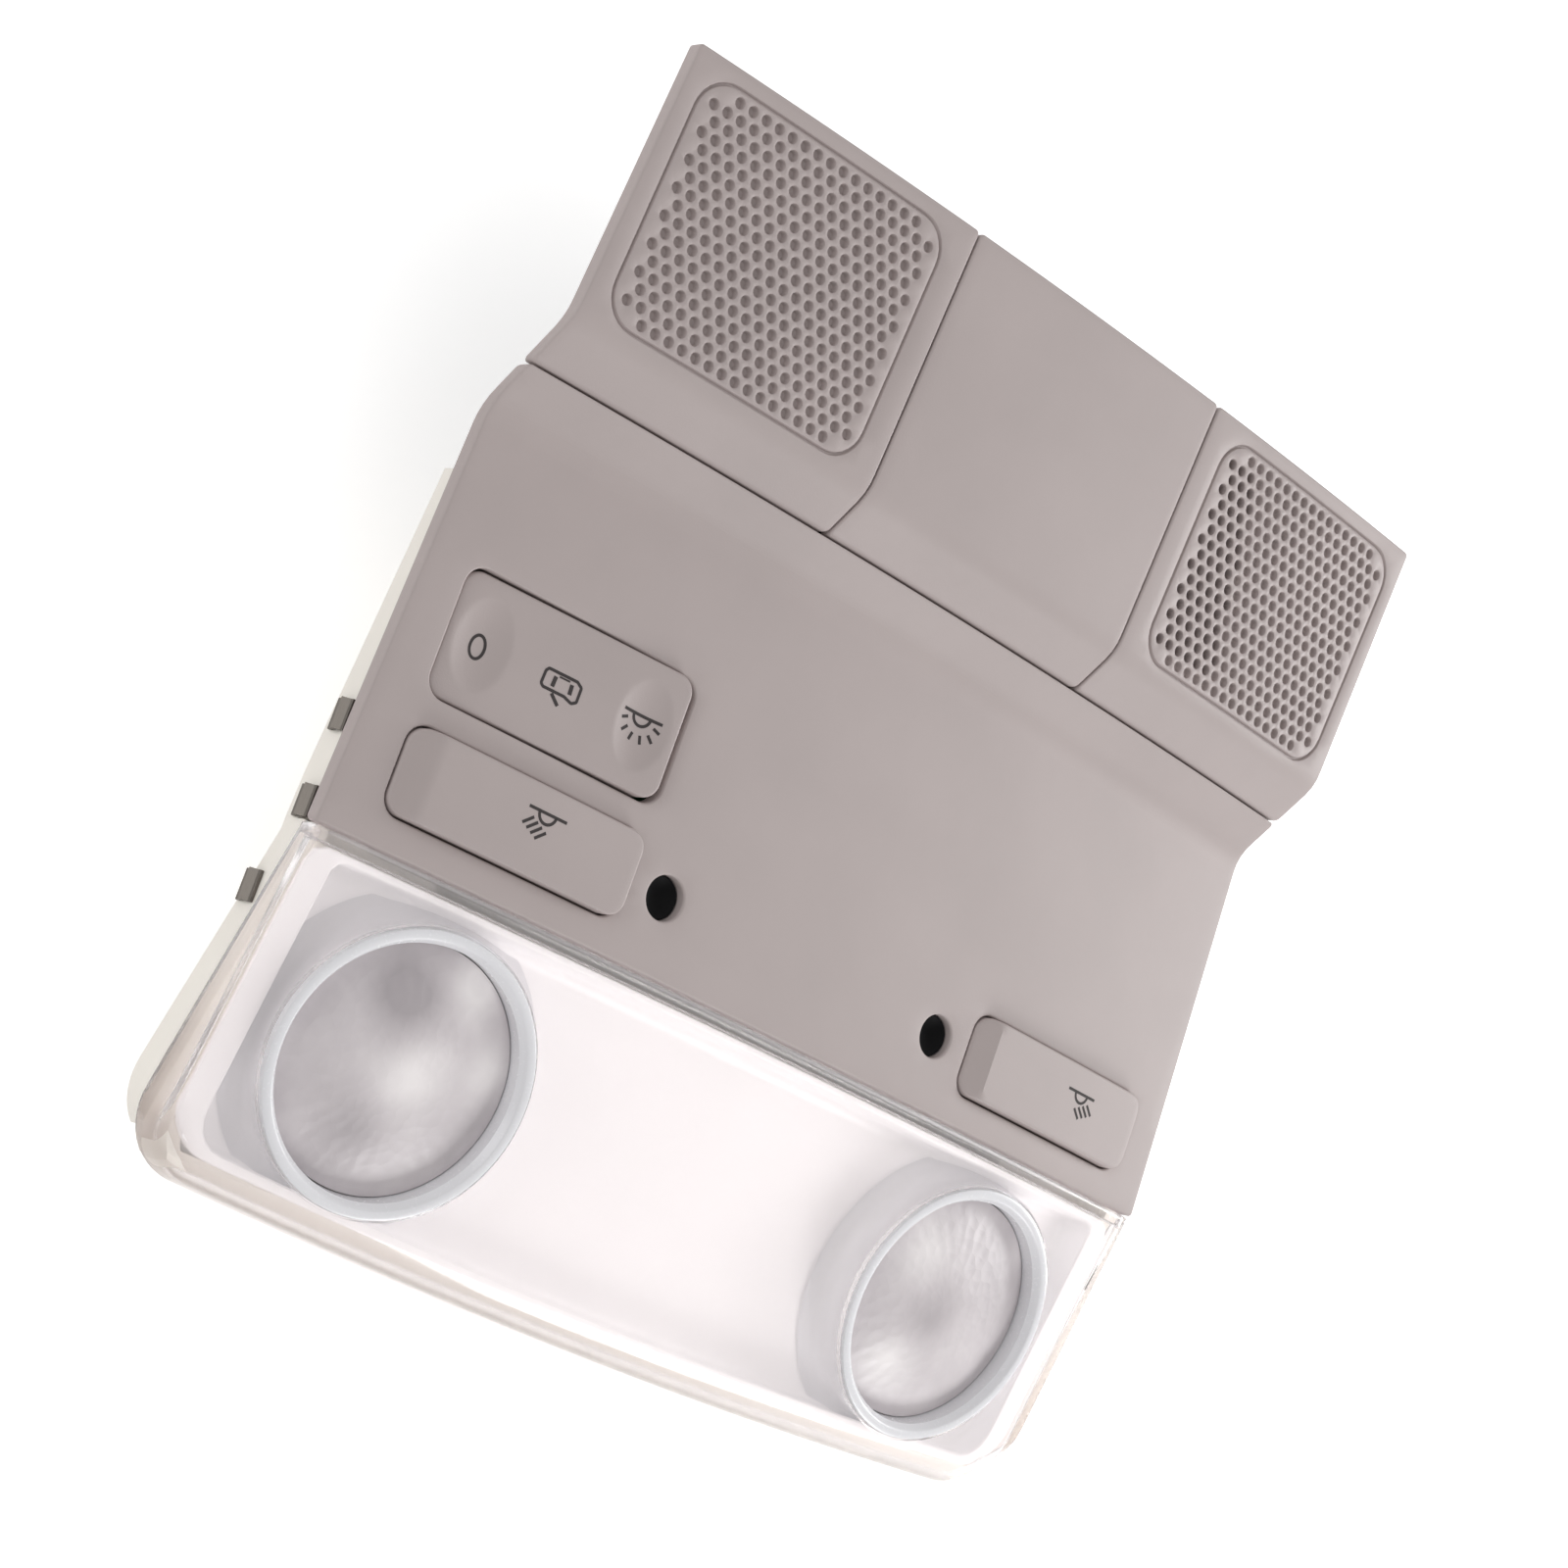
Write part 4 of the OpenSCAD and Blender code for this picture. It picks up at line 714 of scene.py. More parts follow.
def holes_solid(centres, is_open, r, depth):
    """Walls and floors of the holes as rings on the crown, with the outlines of their rims and open ends."""
    t = np.arange(HOLE_SIDES) * 2 * np.pi / HOLE_SIDES + 0.13
    ring = np.c_[np.cos(t), np.sin(t)]
    solid, rims, open_ends = Solid(), [], []
    mouth = [(r + 0.1, 0.0), (r + 0.02, 0.06), (r, 0.2)]
    blind_end = [(r * 0.94, depth * 0.7), (r * 0.75, depth), (r * 0.3, depth + 0.04)]
    for centre, opened in zip(centres, is_open):
        loops = []
        for radius, drop in mouth + ([(r * 0.93, WALL)] if opened else blind_end):
            q = centre + ring * radius
            loops.append(np.c_[q, face(*q.T) - drop])
        solid.rings(loops)
        rims.append(loops[0][:, :2])
        if opened:
            open_ends.append(loops[-1][:, :2])
        else:
            solid.disc(loops[-1], (*centre, loops[-1][:, 2].mean()))
    return solid, rims, open_ends


class DOMELIGHT_OT_covers(bpy.types.Operator):
    """Three covers of the step, the outer two with perforated grilles"""
    bl_idname = "dome_light.covers"
    bl_label = "Covers"

    def execute(self, context):
        s = settings()
        edge = s.edge_r / MM
        inner, half = CENTRE_HALF + SEAM_GAP / 2, CENTRE_HALF - SEAM_GAP / 2
        for name, node, x0, x1 in (("grille_cover_left", "left_grille_cover", None, -inner),
                                   ("grille_cover_right", "right_grille_cover", inner, None),
                                   ("centre_cover_moulding", "centre_cover", -half, half)):
            outer = front_outline(SEAM_Y + SEAM_GAP / 2, FAR_Y, x0, x1)
            points = within(grid_points(np.arange(-93, 94, 2.5), fine_rows(SEAM_Y, FAR_Y)), outer, edge + 0.6)
            solid = Solid()
            if node == "centre_cover":
                slab(solid, outer, [], face, WALL, edge, points)
            else:
                side = LEFT if x0 is None else RIGHT
                centre = np.array([side * GRILLE_X, GRILLE_Y])
                local = grille_centres()
                is_open = over_microphone(local) & (side == RIGHT)
                grille = rounded_box(GRILLE_W + 2 * GROOVE_OUT, GRILLE_L + 2 * GROOVE_OUT,
                                     GRILLE_R + GROOVE_OUT, *centre)
                points = outside(points, grille, 0.9)
                surround = edge_rings(outer, face, rounding(edge) + [(0, WALL)])
                solid.rings(surround[::-1])
                moat = edge_rings(grille, face, [(0, 0), (0.12, 0.06), (0.22, 0.4), (0.32, 0.6), (0.58, 0.6),
                                                 (0.68, 0.4), (0.78, 0.06), (0.9, 0)])
                solid.rings(moat)
                solid.cap(surround[0][:, :2], [moat[0][:, :2]], face, points)
                holes, rims, open_ends = holes_solid(local + centre, is_open, s.hole_r / MM, s.hole_depth / MM)
                solid.join(holes)
                solid.cap(moat[-1][:, :2], rims, face)
                rib = rib_outline(SEAM_Y + SEAM_GAP, FAR_Y - RIM_INSET, x0 and x0 + 0.1, x1 and x1 - 0.1,
                                  closed_low=False)
                underside(solid, surround[-1][:, :2], open_ends, face, WALL, rib, points)
            solid.build(name, finishes()["panel"], replaces=[node])
        return {"FINISHED"}


def bowed_outline(half, front, back, r, back_r=0.6):
    """Outline with straight back and sides, rounded front corners and a slightly bowed front, anticlockwise."""
    x = np.linspace(r - half, half - r, 80)
    y = LENS_BOW - front - np.sqrt(LENS_BOW ** 2 - x * x)
    t = np.linspace(-np.pi / 2, 0, 14)[1:]
    corner = np.c_[half - r + r * np.cos(t), y[-1] + r + r * np.sin(t)]
    t = np.linspace(0, np.pi / 2, 6)
    end = np.c_[half - back_r + back_r * np.cos(t), -back - back_r + back_r * np.sin(t)]
    side = np.vstack([corner, end])
    return divided(np.vstack([np.c_[x, y], side, (side * (-1, 1))[::-1]]), 2.5)


def lamp_ring(side, r, height):
    """Outline, seen along Z, of a circle that lies at a height in a reading lamp's frame."""
    c = circle(r, n=96)
    return (np.c_[c, np.full(len(c), height), np.ones(len(c))] @ lamp_place(side).T)[:, :2]


def bored_faces(solid, r, top, low, xs, ys):
    """Two faces that follow the lens, each given by ring and drop, and the walls of the two lamp bores."""
    faces = [(*top, True), (*low, False)]
    bores = [[lamp_ring(side, r, -drop) for side in (LEFT, RIGHT)] for _, drop, _ in faces]
    for upper, lower in zip(*bores):
        solid.rings([np.c_[loop, lens_face(*loop.T) - drop]
                     for loop, (_, drop, _) in zip((upper, lower), faces)])
    for (ring, drop, up), loops in zip(faces, bores):
        points = within(grid_points(xs, ys), ring[:, :2], 0.8)
        for loop in loops:
            points = outside(points, loop, 0.8)
        solid.cap(ring[:, :2], loops, lambda x, y: lens_face(x, y) - drop, points, up)


class DOMELIGHT_OT_lens(bpy.types.Operator):
    """Clear lens cover with a rounded front edge, a skirt and two holes for the lamp collars"""
    bl_idname = "dome_light.lens"
    bl_label = "Lens Cover"

    def execute(self, context):
        loop = bowed_outline(LENS_W / 2, LENS_L, SEAM_GAP / 2, LENS_CORNER)
        front = np.clip((-loop[:, 1] - 42) / 10, 0, 1)
        front = front * front * (3 - 2 * front)
        r = 1.3 + (LENS_EDGE - 1.3) * front
        skirt = LENS_SKIRT + LENS_EDGE * np.clip(-loop[:, 1] / (LENS_L - LENS_EDGE), 0, 1)
        a = np.linspace(0, np.pi / 2, 9)
        none = np.zeros(len(loop))
        outer = [(r * (1 - np.sin(v)), r * (1 - np.cos(v))) for v in a]
        outer += [(none, skirt - 0.3), (none + 0.3, skirt)]
        ri = np.maximum(r - LENS_WALL, 0.5)
        inner = [(none + LENS_WALL - 0.3, skirt), (none + LENS_WALL, skirt - 0.3)]
        inner += [(LENS_WALL + ri * (1 - np.sin(v)), LENS_WALL + ri * (1 - np.cos(v))) for v in a[::-1]]
        rings = edge_rings(loop, lens_face, outer + inner)
        solid = Solid()
        solid.rings(rings[::-1])
        bored_faces(solid, COLLAR_R + COLLAR_GAP, (rings[0], 0.0), (rings[-1], LENS_WALL),
                    np.arange(-92, 93, 3.0), np.arange(-54, 0, 3.0))
        lens = solid.build("lens_shell", finishes()["clear"], replaces=["lens_cover"])
        # The rim attribute places the painted shade: the skirt below the lens wall, fading in towards the front
        x, y, z = mesh_points(lens.data).T
        below = np.clip((lens_face(x, y) - z - LENS_WALL) / 2.0, 0, 1)
        store(lens.data, "rim", below * np.clip((-y - 20.0) / 20.0, 0, 1))
        return {"FINISHED"}


class DOMELIGHT_OT_tray(bpy.types.Operator):
    """White diffuser tray behind the lens: a dish with a flange that lies on the housing's wall"""
    bl_idname = "dome_light.tray"
    bl_label = "Diffuser Tray"

    def execute(self, context):
        dish = bowed_outline(TRAY_HALF, TRAY_FRONT, TRAY_BACK, TRAY_CORNER, 3.0)
        flange = resampled(bowed_outline(FLANGE_HALF, FLANGE_FRONT, TRAY_BACK, FLANGE_CORNER, 3.0), len(dish))
        dish = resampled(dish, len(dish))
        a = np.linspace(0, np.pi / 2, 8)
        bend = [(TRAY_WALL + TRAY_BEND * (1 - np.cos(v)), TRAY_DEPTH - TRAY_BEND * (1 - np.sin(v))) for v in a]
        under, bottom = TRAY_TOP + FLANGE_T, TRAY_DEPTH + TRAY_WALL
        rings = edge_rings(dish, lens_face, [(3.0, bottom), (0.6, bottom - 0.2), (0, TRAY_DEPTH + 0.5),
                                             (0, under)])
        rings += edge_rings(flange, lens_face, [(0, under), (0, TRAY_TOP + 0.2), (0.2, TRAY_TOP)])
        rings += edge_rings(dish, lens_face, [(TRAY_WALL - 0.3, TRAY_TOP), (TRAY_WALL, TRAY_TOP + 0.3)] + bend)
        solid = Solid()
        solid.rings(rings)
        bored_faces(solid, COLLAR_BORE, (rings[-1], TRAY_DEPTH), (rings[0], bottom),
                    np.arange(-88, 89, 3.0), np.arange(-50, -3, 3.0))
        solid.build("diffuser_dish", finishes()["tray"], replaces=["diffuser_tray"])
        return {"FINISHED"}


# Painted highlights and shade on the reading lenses: middle x, middle y and spread in millimetres, and
# strength, above 0 lighter and below 0 darker
PAINTED_LIGHT_FIELDS = {
    LEFT: [(-4.6, 12.0, 6.0, -0.60), (1.5, 0.0, 6.5, 0.42), (16.0, 6.0, 4.5, 0.35), (7.0, 17.0, 4.5, 0.50),
           (-3.2, -10.8, 6.0, -0.30)],
    RIGHT: [(-10.0, 9.0, 5.5, 0.35), (-3.0, -3.0, 5.0, -0.30), (-6.0, -11.0, 6.0, 0.35),
            (10.0, 8.0, 7.0, -0.15), (13.0, 14.0, 3.5, 0.20)],
}


def painted_shine(mesh, place, fields):
    """Stores the painted highlights and shade of the lens at each point: half, plus bell-shaped fields in the
    lamp's own frame.
    """
    back = np.linalg.inv(place)
    p = mesh_points(mesh) @ back[:3, :3].T + back[:3, 3]
    x, y, spread, strength = np.array(fields).T
    apart = (p[:, :1] - x) ** 2 + (p[:, 1:2] - y) ** 2
    store(mesh, "painted_shine", 0.5 + (strength * np.exp(-apart / spread ** 2)).sum(1))


def dome_profile(r, seat, height):
    """Radius and height of a reading lens from rim to top: a cap of a ball over a short upright edge."""
    top = seat + 1.4
    ball = (r ** 2 + height ** 2) / (2 * height)
    out = r * np.linspace(1, 0, 40)
    return np.c_[out, top + height - ball + np.sqrt(ball ** 2 - out ** 2)]


def ripples(x, y):
    """Soft flutes along the radius that fade towards the middle, over slow swells, gone at the rim."""
    out, angle = np.hypot(x, y), np.arctan2(y, x)
    flutes = 0.05 * np.clip(out / DOME_R, 0, 1) ** 2 * np.sin(36 * angle)
    return (flutes + 0.1 * np.sin(0.42 * x + 1) * np.sin(0.37 * y)) * np.clip((DOME_R - out) / 2, 0, 1)


class DOMELIGHT_OT_lamps(bpy.types.Operator):
    """Reading lamps: silver collars and rippled lenses"""
    bl_idname = "dome_light.lamps"
    bl_label = "Reading Lamps"

    def execute(self, context):
        base, high, seat = TRAY_DEPTH - SEAT_GAP, COLLAR_LIFT, COLLAR_LIFT - 5.4
        t = np.linspace(0, np.pi / 2, 12)
        flare = [(COLLAR_R - 0.4, -base)]
        flare += [(COLLAR_R + COLLAR_FLARE * (1 - np.sin(v)), COLLAR_FLARE * (1 - np.cos(v)) - base) for v in t]
        flare += [(COLLAR_R - 0.4, COLLAR_FLARE - base), (COLLAR_R - 0.4, -base)]
        tube = [(COLLAR_R, -base + 1), (COLLAR_R, high - 0.5), (COLLAR_R - 0.15, high - 0.15),
                (COLLAR_R - 0.5, high), (COLLAR_R - 1.5, high), (COLLAR_R - 1.75, high - 0.15),
                (COLLAR_BORE + 0.35, high - 0.9), (COLLAR_BORE, high - 1.3), (COLLAR_BORE, -base),
                (COLLAR_R, -base), (COLLAR_R, -base + 1)]
        cap = dome_profile(DOME_R, seat, 3.4)
        front, back = TRAY_FRONT - TRAY_WALL - 0.2, -TRAY_BACK - TRAY_WALL - 0.2
        for side, word in ((LEFT, "left"), (RIGHT, "right")):
            place = lamp_place(side)
            foot = Solid()
            lathe(foot, flare, 128)
            foot.place(place)
            foot.points = [np.c_[p[:, 0], np.clip(p[:, 1], p[:, 0] ** 2 / 2 / LENS_BOW - front, back), p[:, 2]]
                           for p in foot.points]
            solid = Solid()
            lathe(solid, tube, 128)
            solid.place(place)
            solid.join(foot)
            solid.build(f"collar_{word}", finishes()["silver"], replaces=[f"{word}_lamp_collar"])

            solid = Solid()
            lathe(solid, [(0, seat), (DOME_R, seat)], 144)
            lathe(solid, np.vstack([[[DOME_R, seat]], cap[:1]]), 144)
            lathe(solid, cap, 144, ripples)
            solid.place(place)
            obj = solid.build(f"reading_dome_{word}", finishes()["reading"], replaces=[f"{word}_reading_lens"])
            painted_shine(obj.data, place, PAINTED_LIGHT_FIELDS[side])
        return {"FINISHED"}


def level(z):
    """A flat surface at height z."""
    return lambda x, y: np.full_like(x, z)


class DOMELIGHT_OT_rocker(bpy.types.Operator):
    """Rocker with two finger dimples, pressed at its left end"""
    bl_idname = "dome_light.rocker"
    bl_label = "Rocker"

    def execute(self, context):
        edge = settings().edge_r / MM
        top = ROCKER_FACE
        reach = np.sqrt((ROCKER_L / 2) ** 2 - top ** 2)
        outline = rounded_box(2 * reach, ROCKER_W, ROCKER_CORNER, arc=10, edge=1.2)
        points = within(grid_points(np.arange(-22, 22.1, 0.5), np.arange(-10, 10.1, 0.5)), outline, edge + 0.4)
        solid = Solid()
        rings = edge_rings(outline, rocker_top, rounding(edge) + [(0, 2.0)])
        for inset, drop in ((0, CAP_DEPTH), (CAP_WALL, CAP_DEPTH), (CAP_WALL, 1.8)):
            p = moved_in(outline, inset)
            rings.append(np.c_[p, np.full(len(p), top - drop)])
        solid.rings(rings[::-1])
        solid.cap(rings[0][:, :2], [], rocker_top, points)
        solid.cap(rings[-1][:, :2], [], level(top - 1.8), None, up=False)
        solid.place(cap_lean())
        pin = ROCKER_W / 2 + TRUNNION_L
        flat = turned("X", np.pi / 2)
        trunnion = [(0, -pin), (TRUNNION_R - 0.2, -pin), (TRUNNION_R, 0.2 - pin), (TRUNNION_R, pin - 0.2),
                    (TRUNNION_R - 0.2, pin), (0, pin)]
        lathe(solid, trunnion, 32, place=flat)
        lathe(solid, [(0, -3), (2.6, -3), (2.6, 3), (0, 3)], 32, place=flat)
        tip = [(0, -3), (LEVER_TIP, -3), (LEVER_TIP, 3), (0, 3)]
        lathe(solid, tip, 32, place=shifted(0, 0, -LEVER_L) @ flat)
        post = rounded_box(2, 6, 0.3, arc=3, edge=6)
        solid.rings([np.c_[post, np.full(len(post), z)] for z in (-LEVER_L, top - 1.7)])
        solid.cap(post, [], level(-LEVER_L), None, up=False)
        solid.cap(post, [], level(top - 1.7), None)
        solid.place(rocker_place())
        solid.build("rocker_cap", finishes()["panel"], body="rocker", replaces=["main_rocker"])
        return {"FINISHED"}


def rocker_top(x, y):
    """Height of the rocker's face above its pivot: flat, less a smooth oval bowl at each end."""
    z = np.full_like(np.asarray(x, float), ROCKER_FACE)
    for end in (-1, 1):
        q = ((x - end * DIMPLE_X) / (DIMPLE_W / 2)) ** 2 + (y / (DIMPLE_L / 2)) ** 2
        z = z - DIMPLE_DEPTH * np.clip(1 - q, 0, 1)
    return z


def button_top(side):
    """Height of a button's face: the crown plus its rise, taken to nothing by a bevel at the left end."""
    def height(x, y):
        run = np.clip((x - side * BUTTON_X + BUTTON_L / 2) / BUTTON_BEVEL, 0, 1)
        return crown(FACE_Z, x) + BUTTON_RISE * run
    return height


class DOMELIGHT_OT_buttons(bpy.types.Operator):
    """Push bars of the two reading lamps, with a bevel at their left ends"""
    bl_idname = "dome_light.buttons"
    bl_label = "Reading Buttons"

    def execute(self, context):
        edge = settings().edge_r / MM
        skirt = [(0, 2.7), (-BUTTON_LIP, 2.7), (-BUTTON_LIP, 3.7), (0, 3.7), (0, 5.0), (1.6, 5.0), (1.6, 0.2)]
        stem = [(0, STEM_LOW), (STEM_R, STEM_LOW), (STEM_R, STEM_TOP), (0, STEM_TOP)]
        for side, word in ((LEFT, "left"), (RIGHT, "right")):
            height = button_top(side)
            outline = rounded_box(BUTTON_L, BUTTON_W, BUTTON_CORNER, side * BUTTON_X, BUTTON_Y, arc=8, edge=1.2)
            bend = BUTTON_BEVEL - BUTTON_L / 2
            xs = np.unique(np.r_[np.arange(bend, BUTTON_L / 2, 1.5), np.linspace(-BUTTON_L / 2, bend, 7)])
            rows = grid_points(xs + side * BUTTON_X, np.arange(BUTTON_Y - 7, BUTTON_Y + 7.1, 1.0))
            points = within(rows, outline, edge + 0.3)
            solid = Solid()
            rings = edge_rings(outline, height, rounding(edge))
            rings += edge_rings(outline, lambda x, y: crown(FACE_Z, x), skirt)
            solid.rings(rings[::-1])
            lathe(solid, stem, 32, place=shifted(side * STEM_X, BUTTON_Y, 0))
            solid.cap(rings[0][:, :2], [], height, points)
            solid.cap(rings[-1][:, :2], [], lambda x, y: crown(FACE_Z, x) - 0.2, None, up=False)
            solid.build(f"push_bar_{word}", finishes()["panel"], body=f"{word}_button",
                        replaces=[f"{word}_reading_button"], smooth=24)
        return {"FINISHED"}


class DOMELIGHT_OT_ambient(bpy.types.Operator):
    """Black ambient lights with a hollow face, sunk in round holes"""
    bl_idname = "dome_light.ambient"
    bl_label = "Ambient Lights"

    def execute(self, context):
        r = AMBIENT_R - 0.15
        t = np.linspace(0, 1, 16)
        bowl = np.c_[(r - 0.35) * (1 - t), -1.1 * (1 - (1 - t) ** 2) - 0.15]
        rim = [[0, -AMBIENT_L], [r - 0.3, -AMBIENT_L], [r, 0.3 - AMBIENT_L], [r, -0.3], [r - 0.15, -0.06]]
        for side, word in ((LEFT, "left"), (RIGHT, "right")):
            solid = Solid()
            lathe(solid, np.vstack([rim, bowl]), 48)
            solid.place(shifted(side * AMBIENT_X, AMBIENT_Y, crown(FACE_Z, AMBIENT_X) - AMBIENT_RECESS))
            solid.build(f"ambient_cap_{word}", finishes()["black_gloss"], replaces=[f"{word}_ambient_light"])
        return {"FINISHED"}


# ------------------------------------------------------------------ signs

def stroke(solid, line, height, width=INK_W, closed=False):
    """A flat stroke of ink: the line widened square to itself, a hair thick, laid on a surface."""
    line = np.asarray(line, float)
    if closed:
        line = np.vstack([line, line[:1]])
    d = np.gradient(line, axis=0)
    n = np.c_[-d[:, 1], d[:, 0]] / np.maximum(np.linalg.norm(d, axis=1), 1e-9)[:, None]
    a, b = line + n * width / 2, line - n * width / 2
    loop = np.vstack([b, a[::-1]])
    top = np.c_[loop, height(loop[:, 0], loop[:, 1]) + INK_LIFT]
    low = top - (0, 0, 2 * INK_LIFT)
    m = len(line)
    solid.rings([np.vstack([low, low[:1]]), np.vstack([top, top[:1]])], closed=False)
    i = np.arange(m - 1)
    quads = np.c_[i, i + 1, 2 * m - 2 - i, 2 * m - 1 - i]
    solid.add(top, quads)
    solid.add(low, quads[:, ::-1])


def arc(cx, cy, rx, ry, a0, a1, n=16):
    """Points of an oval's arc between two angles in degrees."""
    t = np.radians(np.linspace(a0, a1, n))
    return np.c_[cx + rx * np.cos(t), cy + ry * np.sin(t)]


def line(x0, y0, x1, y1, n=4):
    """Evenly spaced points of a straight line."""
    return np.c_[np.linspace(x0, x1, n), np.linspace(y0, y1, n)]


def lamp_sign(solid, x, y, rays, height):
    """Ceiling line, half-round bowl and rays of a lamp sign; a ray is its two ends in units of the size."""
    top = y + LAMP_SIGN * 0.16
    stroke(solid, line(x - LAMP_SIGN * 0.5, top, x + LAMP_SIGN * 0.5, top, 8), height)
    stroke(solid, arc(x, top, LAMP_SIGN * 0.22, LAMP_SIGN * 0.22, 180, 360), height)
    for ray in np.array(rays) * LAMP_SIGN + (x, y, x, y):
        stroke(solid, line(*ray), height)


class DOMELIGHT_OT_signs(bpy.types.Operator):
    """Printed signs: off, door and on for the rocker, a slanted lamp for each push bar"""
    bl_idname = "dome_light.signs"
    bl_label = "Signs"

    def execute(self, context):
        ink = finishes()["ink"]
        solid = Solid()
        stroke(solid, arc(-15.7, -0.4, 1.3, 1.85, 0, 360, 40), rocker_top)
        body = np.array([(-3.4, 1.3), (-3.0, 1.8), (2.4, 1.8), (3.4, 1.2), (3.4, -1.2), (2.6, -1.7),
                         (1.0, -1.2), (-3.0, -1.2), (-3.5, -0.8)]) + (-0.4, -0.3)
        body = rounded_line(np.vstack([body[-1:], body, body[:1]]), 0.35, 4)[1:-1]
        stroke(solid, body, rocker_top, closed=True)
        for ends, width in (((-1.8, 0.8, -1.9, -0.9), 0.7), ((1.3, 0.7, 1.4, -0.9), 0.7),
                            ((-1.2, 1.0, 0.8, 1.0), 0.3), ((-1.6, -1.9, 0.1, -3.3), 0.6)):
            stroke(solid, line(*ends), rocker_top, width)
        half = np.array([(0.34, 0.02, 0.5, -0.05), (0.27, -0.16, 0.4, -0.3), (0.1, -0.24, 0.15, -0.42)])
        lamp_sign(solid, 15.2, 0.3, np.vstack([half, (half * (-1, 1, -1, 1))[::-1]]), rocker_top)
        solid.place(rocker_place() @ cap_lean())
        solid.build("rocker_signs", ink, body="rocker", smooth=20)
        k = np.arange(4)
        for side, word, x, y in ((LEFT, "left", -59.5, 14.4), (RIGHT, "right", 69.2, 13.8)):
            solid = Solid()
            rays = np.c_[side * (0.30 - 0.134 * k), -0.02 - 0.066 * k,
                         side * (0.53 - 0.134 * k), -0.22 - 0.066 * k]
            lamp_sign(solid, x, y, rays, button_top(side))
            solid.build(f"push_bar_sign_{word}", ink, body=f"{word}_button", smooth=20)
        return {"FINISHED"}


# ------------------------------------------------------------------ kept solids

class DOMELIGHT_OT_inside(bpy.types.Operator):
    """Finishes of the housing, the board, the switches and the other solids that keep their shape"""
    bl_idname = "dome_light.inside"
    bl_label = "Housing and Inside"

    def execute(self, context):
        pair = [word + "_{}" for word in ("left", "right")]
        kinds = {
            "housing": ["back_housing"],
            "black": ["cover_frame", "switch_carrier", "rocker_slider", "connector_socket", "microphone_sleeve"]
                     + [word.format(name) for word in pair for name in ("bulb_socket", "microswitch")],
            "steel": ["slide_switch", "spring_clips", "housing_screws", "microphone"],
            "brass": ["bulb_contacts", "contact_pins"],
            "board": ["circuit_board"],
            "mirror": [word.format("mirror_bowl") for word in pair],
            "bulb": ["courtesy_bulb"] + [word.format("reading_bulb") for word in pair],
            "tray": [word.format("plunger") for word in pair],
        }
        for kind, names in kinds.items():
            for name in names:
                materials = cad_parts[name].data.materials
                materials.clear()
                materials.append(finishes()[kind])
        return {"FINISHED"}


# ------------------------------------------------------------------ stage

# Point that every lamp is aimed at, in metres, and the floor's own light where the camera sees it
LAMP_AIM, FLOOR_GLOW = (0, 0.04, 0.03), 0.55


def studio_floor(brightness):
    """Floor that bends up into a wall: a profile along Y carried across X, white where a sight line ends."""
    t = np.linspace(0, np.pi / 2, 12)
    rows = np.vstack([[[-3.0, 0.0]], np.c_[3.0 + 0.8 * np.sin(t), 0.8 * (1 - np.cos(t))], [[3.8, 4.0]]])
    points = np.repeat(np.c_[np.zeros(len(rows)), rows - (0, 0.0002)], 2, axis=0)
    points[:, 0] = np.tile((-4.0, 4.0), len(rows))
    i = np.arange(len(rows) - 1) * 2
    mesh = bpy.data.meshes.new("studio_floor")
    mesh.from_pydata(points.tolist(), [], np.c_[i, i + 1, i + 3, i + 2].tolist())
    mesh.polygons.foreach_set("use_smooth", np.ones(len(mesh.polygons), bool))

    mat, tree, shader = new_material("Floor white")
    set_sockets(shader, Base_Color=(0.9, 0.9, 0.9, 1), Roughness=0.9, Specular_IOR_Level=0.1,
                Emission_Color=(1, 1, 1, 1))
    path = tree.nodes.new("ShaderNodeLightPath").outputs
    seen = math_node(tree, "MAXIMUM", path["Is Camera Ray"], path["Is Glossy Ray"])
    seen = math_node(tree, "MAXIMUM", seen, path["Is Transmission Ray"])
    glow = math_node(tree, "MULTIPLY", seen, FLOOR_GLOW * brightness)
    tree.links.new(glow, shader.inputs["Emission Strength"])
    mesh.materials.append(mat)
    floor = bpy.data.objects.new("studio_floor", mesh)
    return floor


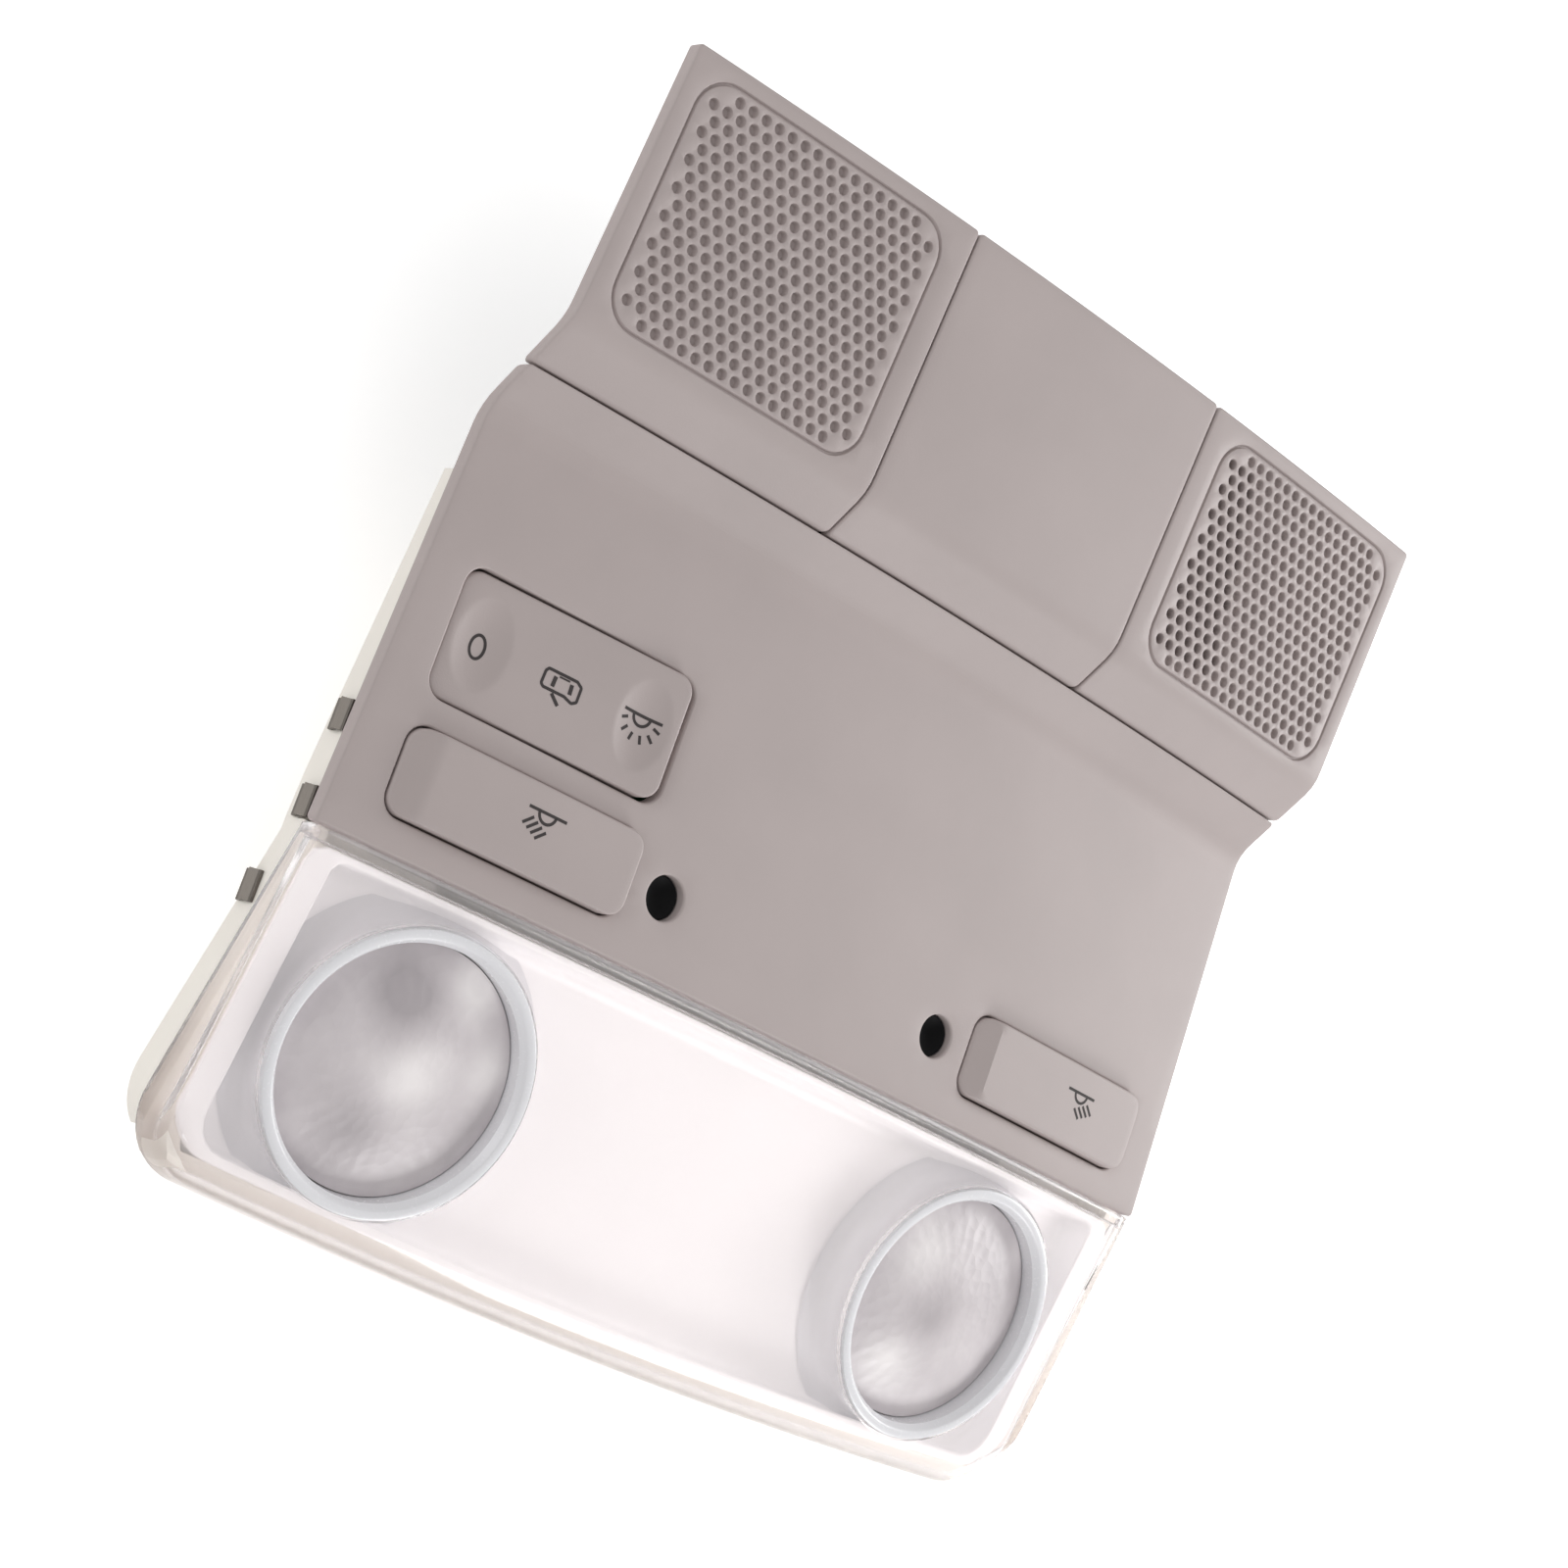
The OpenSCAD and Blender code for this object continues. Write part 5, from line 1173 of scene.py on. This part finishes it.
class DOMELIGHT_OT_stage(bpy.types.Operator):
    """Pale floor, soft studio lamps and the camera"""
    bl_idname = "dome_light.stage"
    bl_label = "Studio"

    def execute(self, context):
        scene = context.scene
        scene.collection.objects.link(studio_floor(settings().floor_brightness))
        world = bpy.data.worlds.new("Studio world")
        scene.world = world
        world.use_nodes = True
        set_sockets(next(node for node in world.node_tree.nodes if node.type == "BACKGROUND"),
                    Color=(1.0, 0.99, 0.985, 1), Strength=0.5)
        for name, place, size, power in (("key_lamp", (0.70, -0.75, 0.45), 0.40, 4.4),
                                         ("side_lamp", (0.93, 0.20, 0.35), 0.35, 3.2),
                                         ("back_lamp", (0.77, 0.32, 0.50), 0.40, 1.2),
                                         ("fill_lamp", (-1.0, 0.10, 0.35), 0.60, 2.6),
                                         ("top_lamp", (-0.1, 0.1, 1.4), 0.80, 1.1)):
            data = bpy.data.lights.new(name, "AREA")
            data.shape, data.size, data.size_y = "RECTANGLE", size, size
            data.energy = power * settings().lamp_strength
            obj = bpy.data.objects.new(name, data)
            obj.location = place
            obj.rotation_euler = (Vector(LAMP_AIM) - Vector(place)).to_track_quat("-Z", "Y").to_euler()
            scene.collection.objects.link(obj)

        # Direction and distance of the photograph's own camera, fitted to the part's circles and corners
        cam = bpy.data.cameras.new("photo_camera")
        cam.lens, cam.sensor_width, cam.sensor_fit = 83.19, 36.0, "HORIZONTAL"
        cam.clip_start, cam.clip_end = 0.05, 20.0
        obj = bpy.data.objects.new("photo_camera", cam)
        obj.location = (-0.37876, -0.08023, 0.47806)
        obj.rotation_euler = tuple(np.radians((-4.8428, -40.6282, 25.5105)))
        scene.collection.objects.link(obj)
        scene.camera = obj
        scene.view_settings.view_transform = "Standard"
        return {"FINISHED"}


class DOMELIGHT_PT_sidebar(bpy.types.Panel):
    """Lists the settings and the operators in the 3D view's sidebar"""
    bl_idname = "DOMELIGHT_PT_sidebar"
    bl_label = "Dome Light"
    bl_space_type = "VIEW_3D"
    bl_region_type = "UI"
    bl_category = "Dome Light"

    def draw(self, context):
        s = context.scene.dome_light
        for key in s.__annotations__:
            self.layout.prop(s, key)
        for op in OPERATORS:
            self.layout.operator(op.bl_idname)


OPERATORS = (DOMELIGHT_OT_stage, DOMELIGHT_OT_inside, DOMELIGHT_OT_panel, DOMELIGHT_OT_covers,
             DOMELIGHT_OT_lens, DOMELIGHT_OT_tray, DOMELIGHT_OT_lamps, DOMELIGHT_OT_rocker,
             DOMELIGHT_OT_buttons, DOMELIGHT_OT_ambient, DOMELIGHT_OT_signs)
CLASSES = (DomeLightSettings,) + OPERATORS + (DOMELIGHT_PT_sidebar,)


def register():
    """Makes the classes known to Blender and hangs the settings on the scene."""
    for cls in CLASSES:
        bpy.utils.register_class(cls)
    bpy.types.Scene.dome_light = PointerProperty(type=DomeLightSettings)


def unregister():
    """Takes the settings and the classes away again."""
    del bpy.types.Scene.dome_light
    for cls in reversed(CLASSES):
        bpy.utils.unregister_class(cls)


def main():
    """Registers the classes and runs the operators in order."""
    register()
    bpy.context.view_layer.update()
    for op in OPERATORS:
        group, name = op.bl_idname.split(".")
        getattr(getattr(bpy.ops, group), name)()


if __name__ == "__main__":
    main()
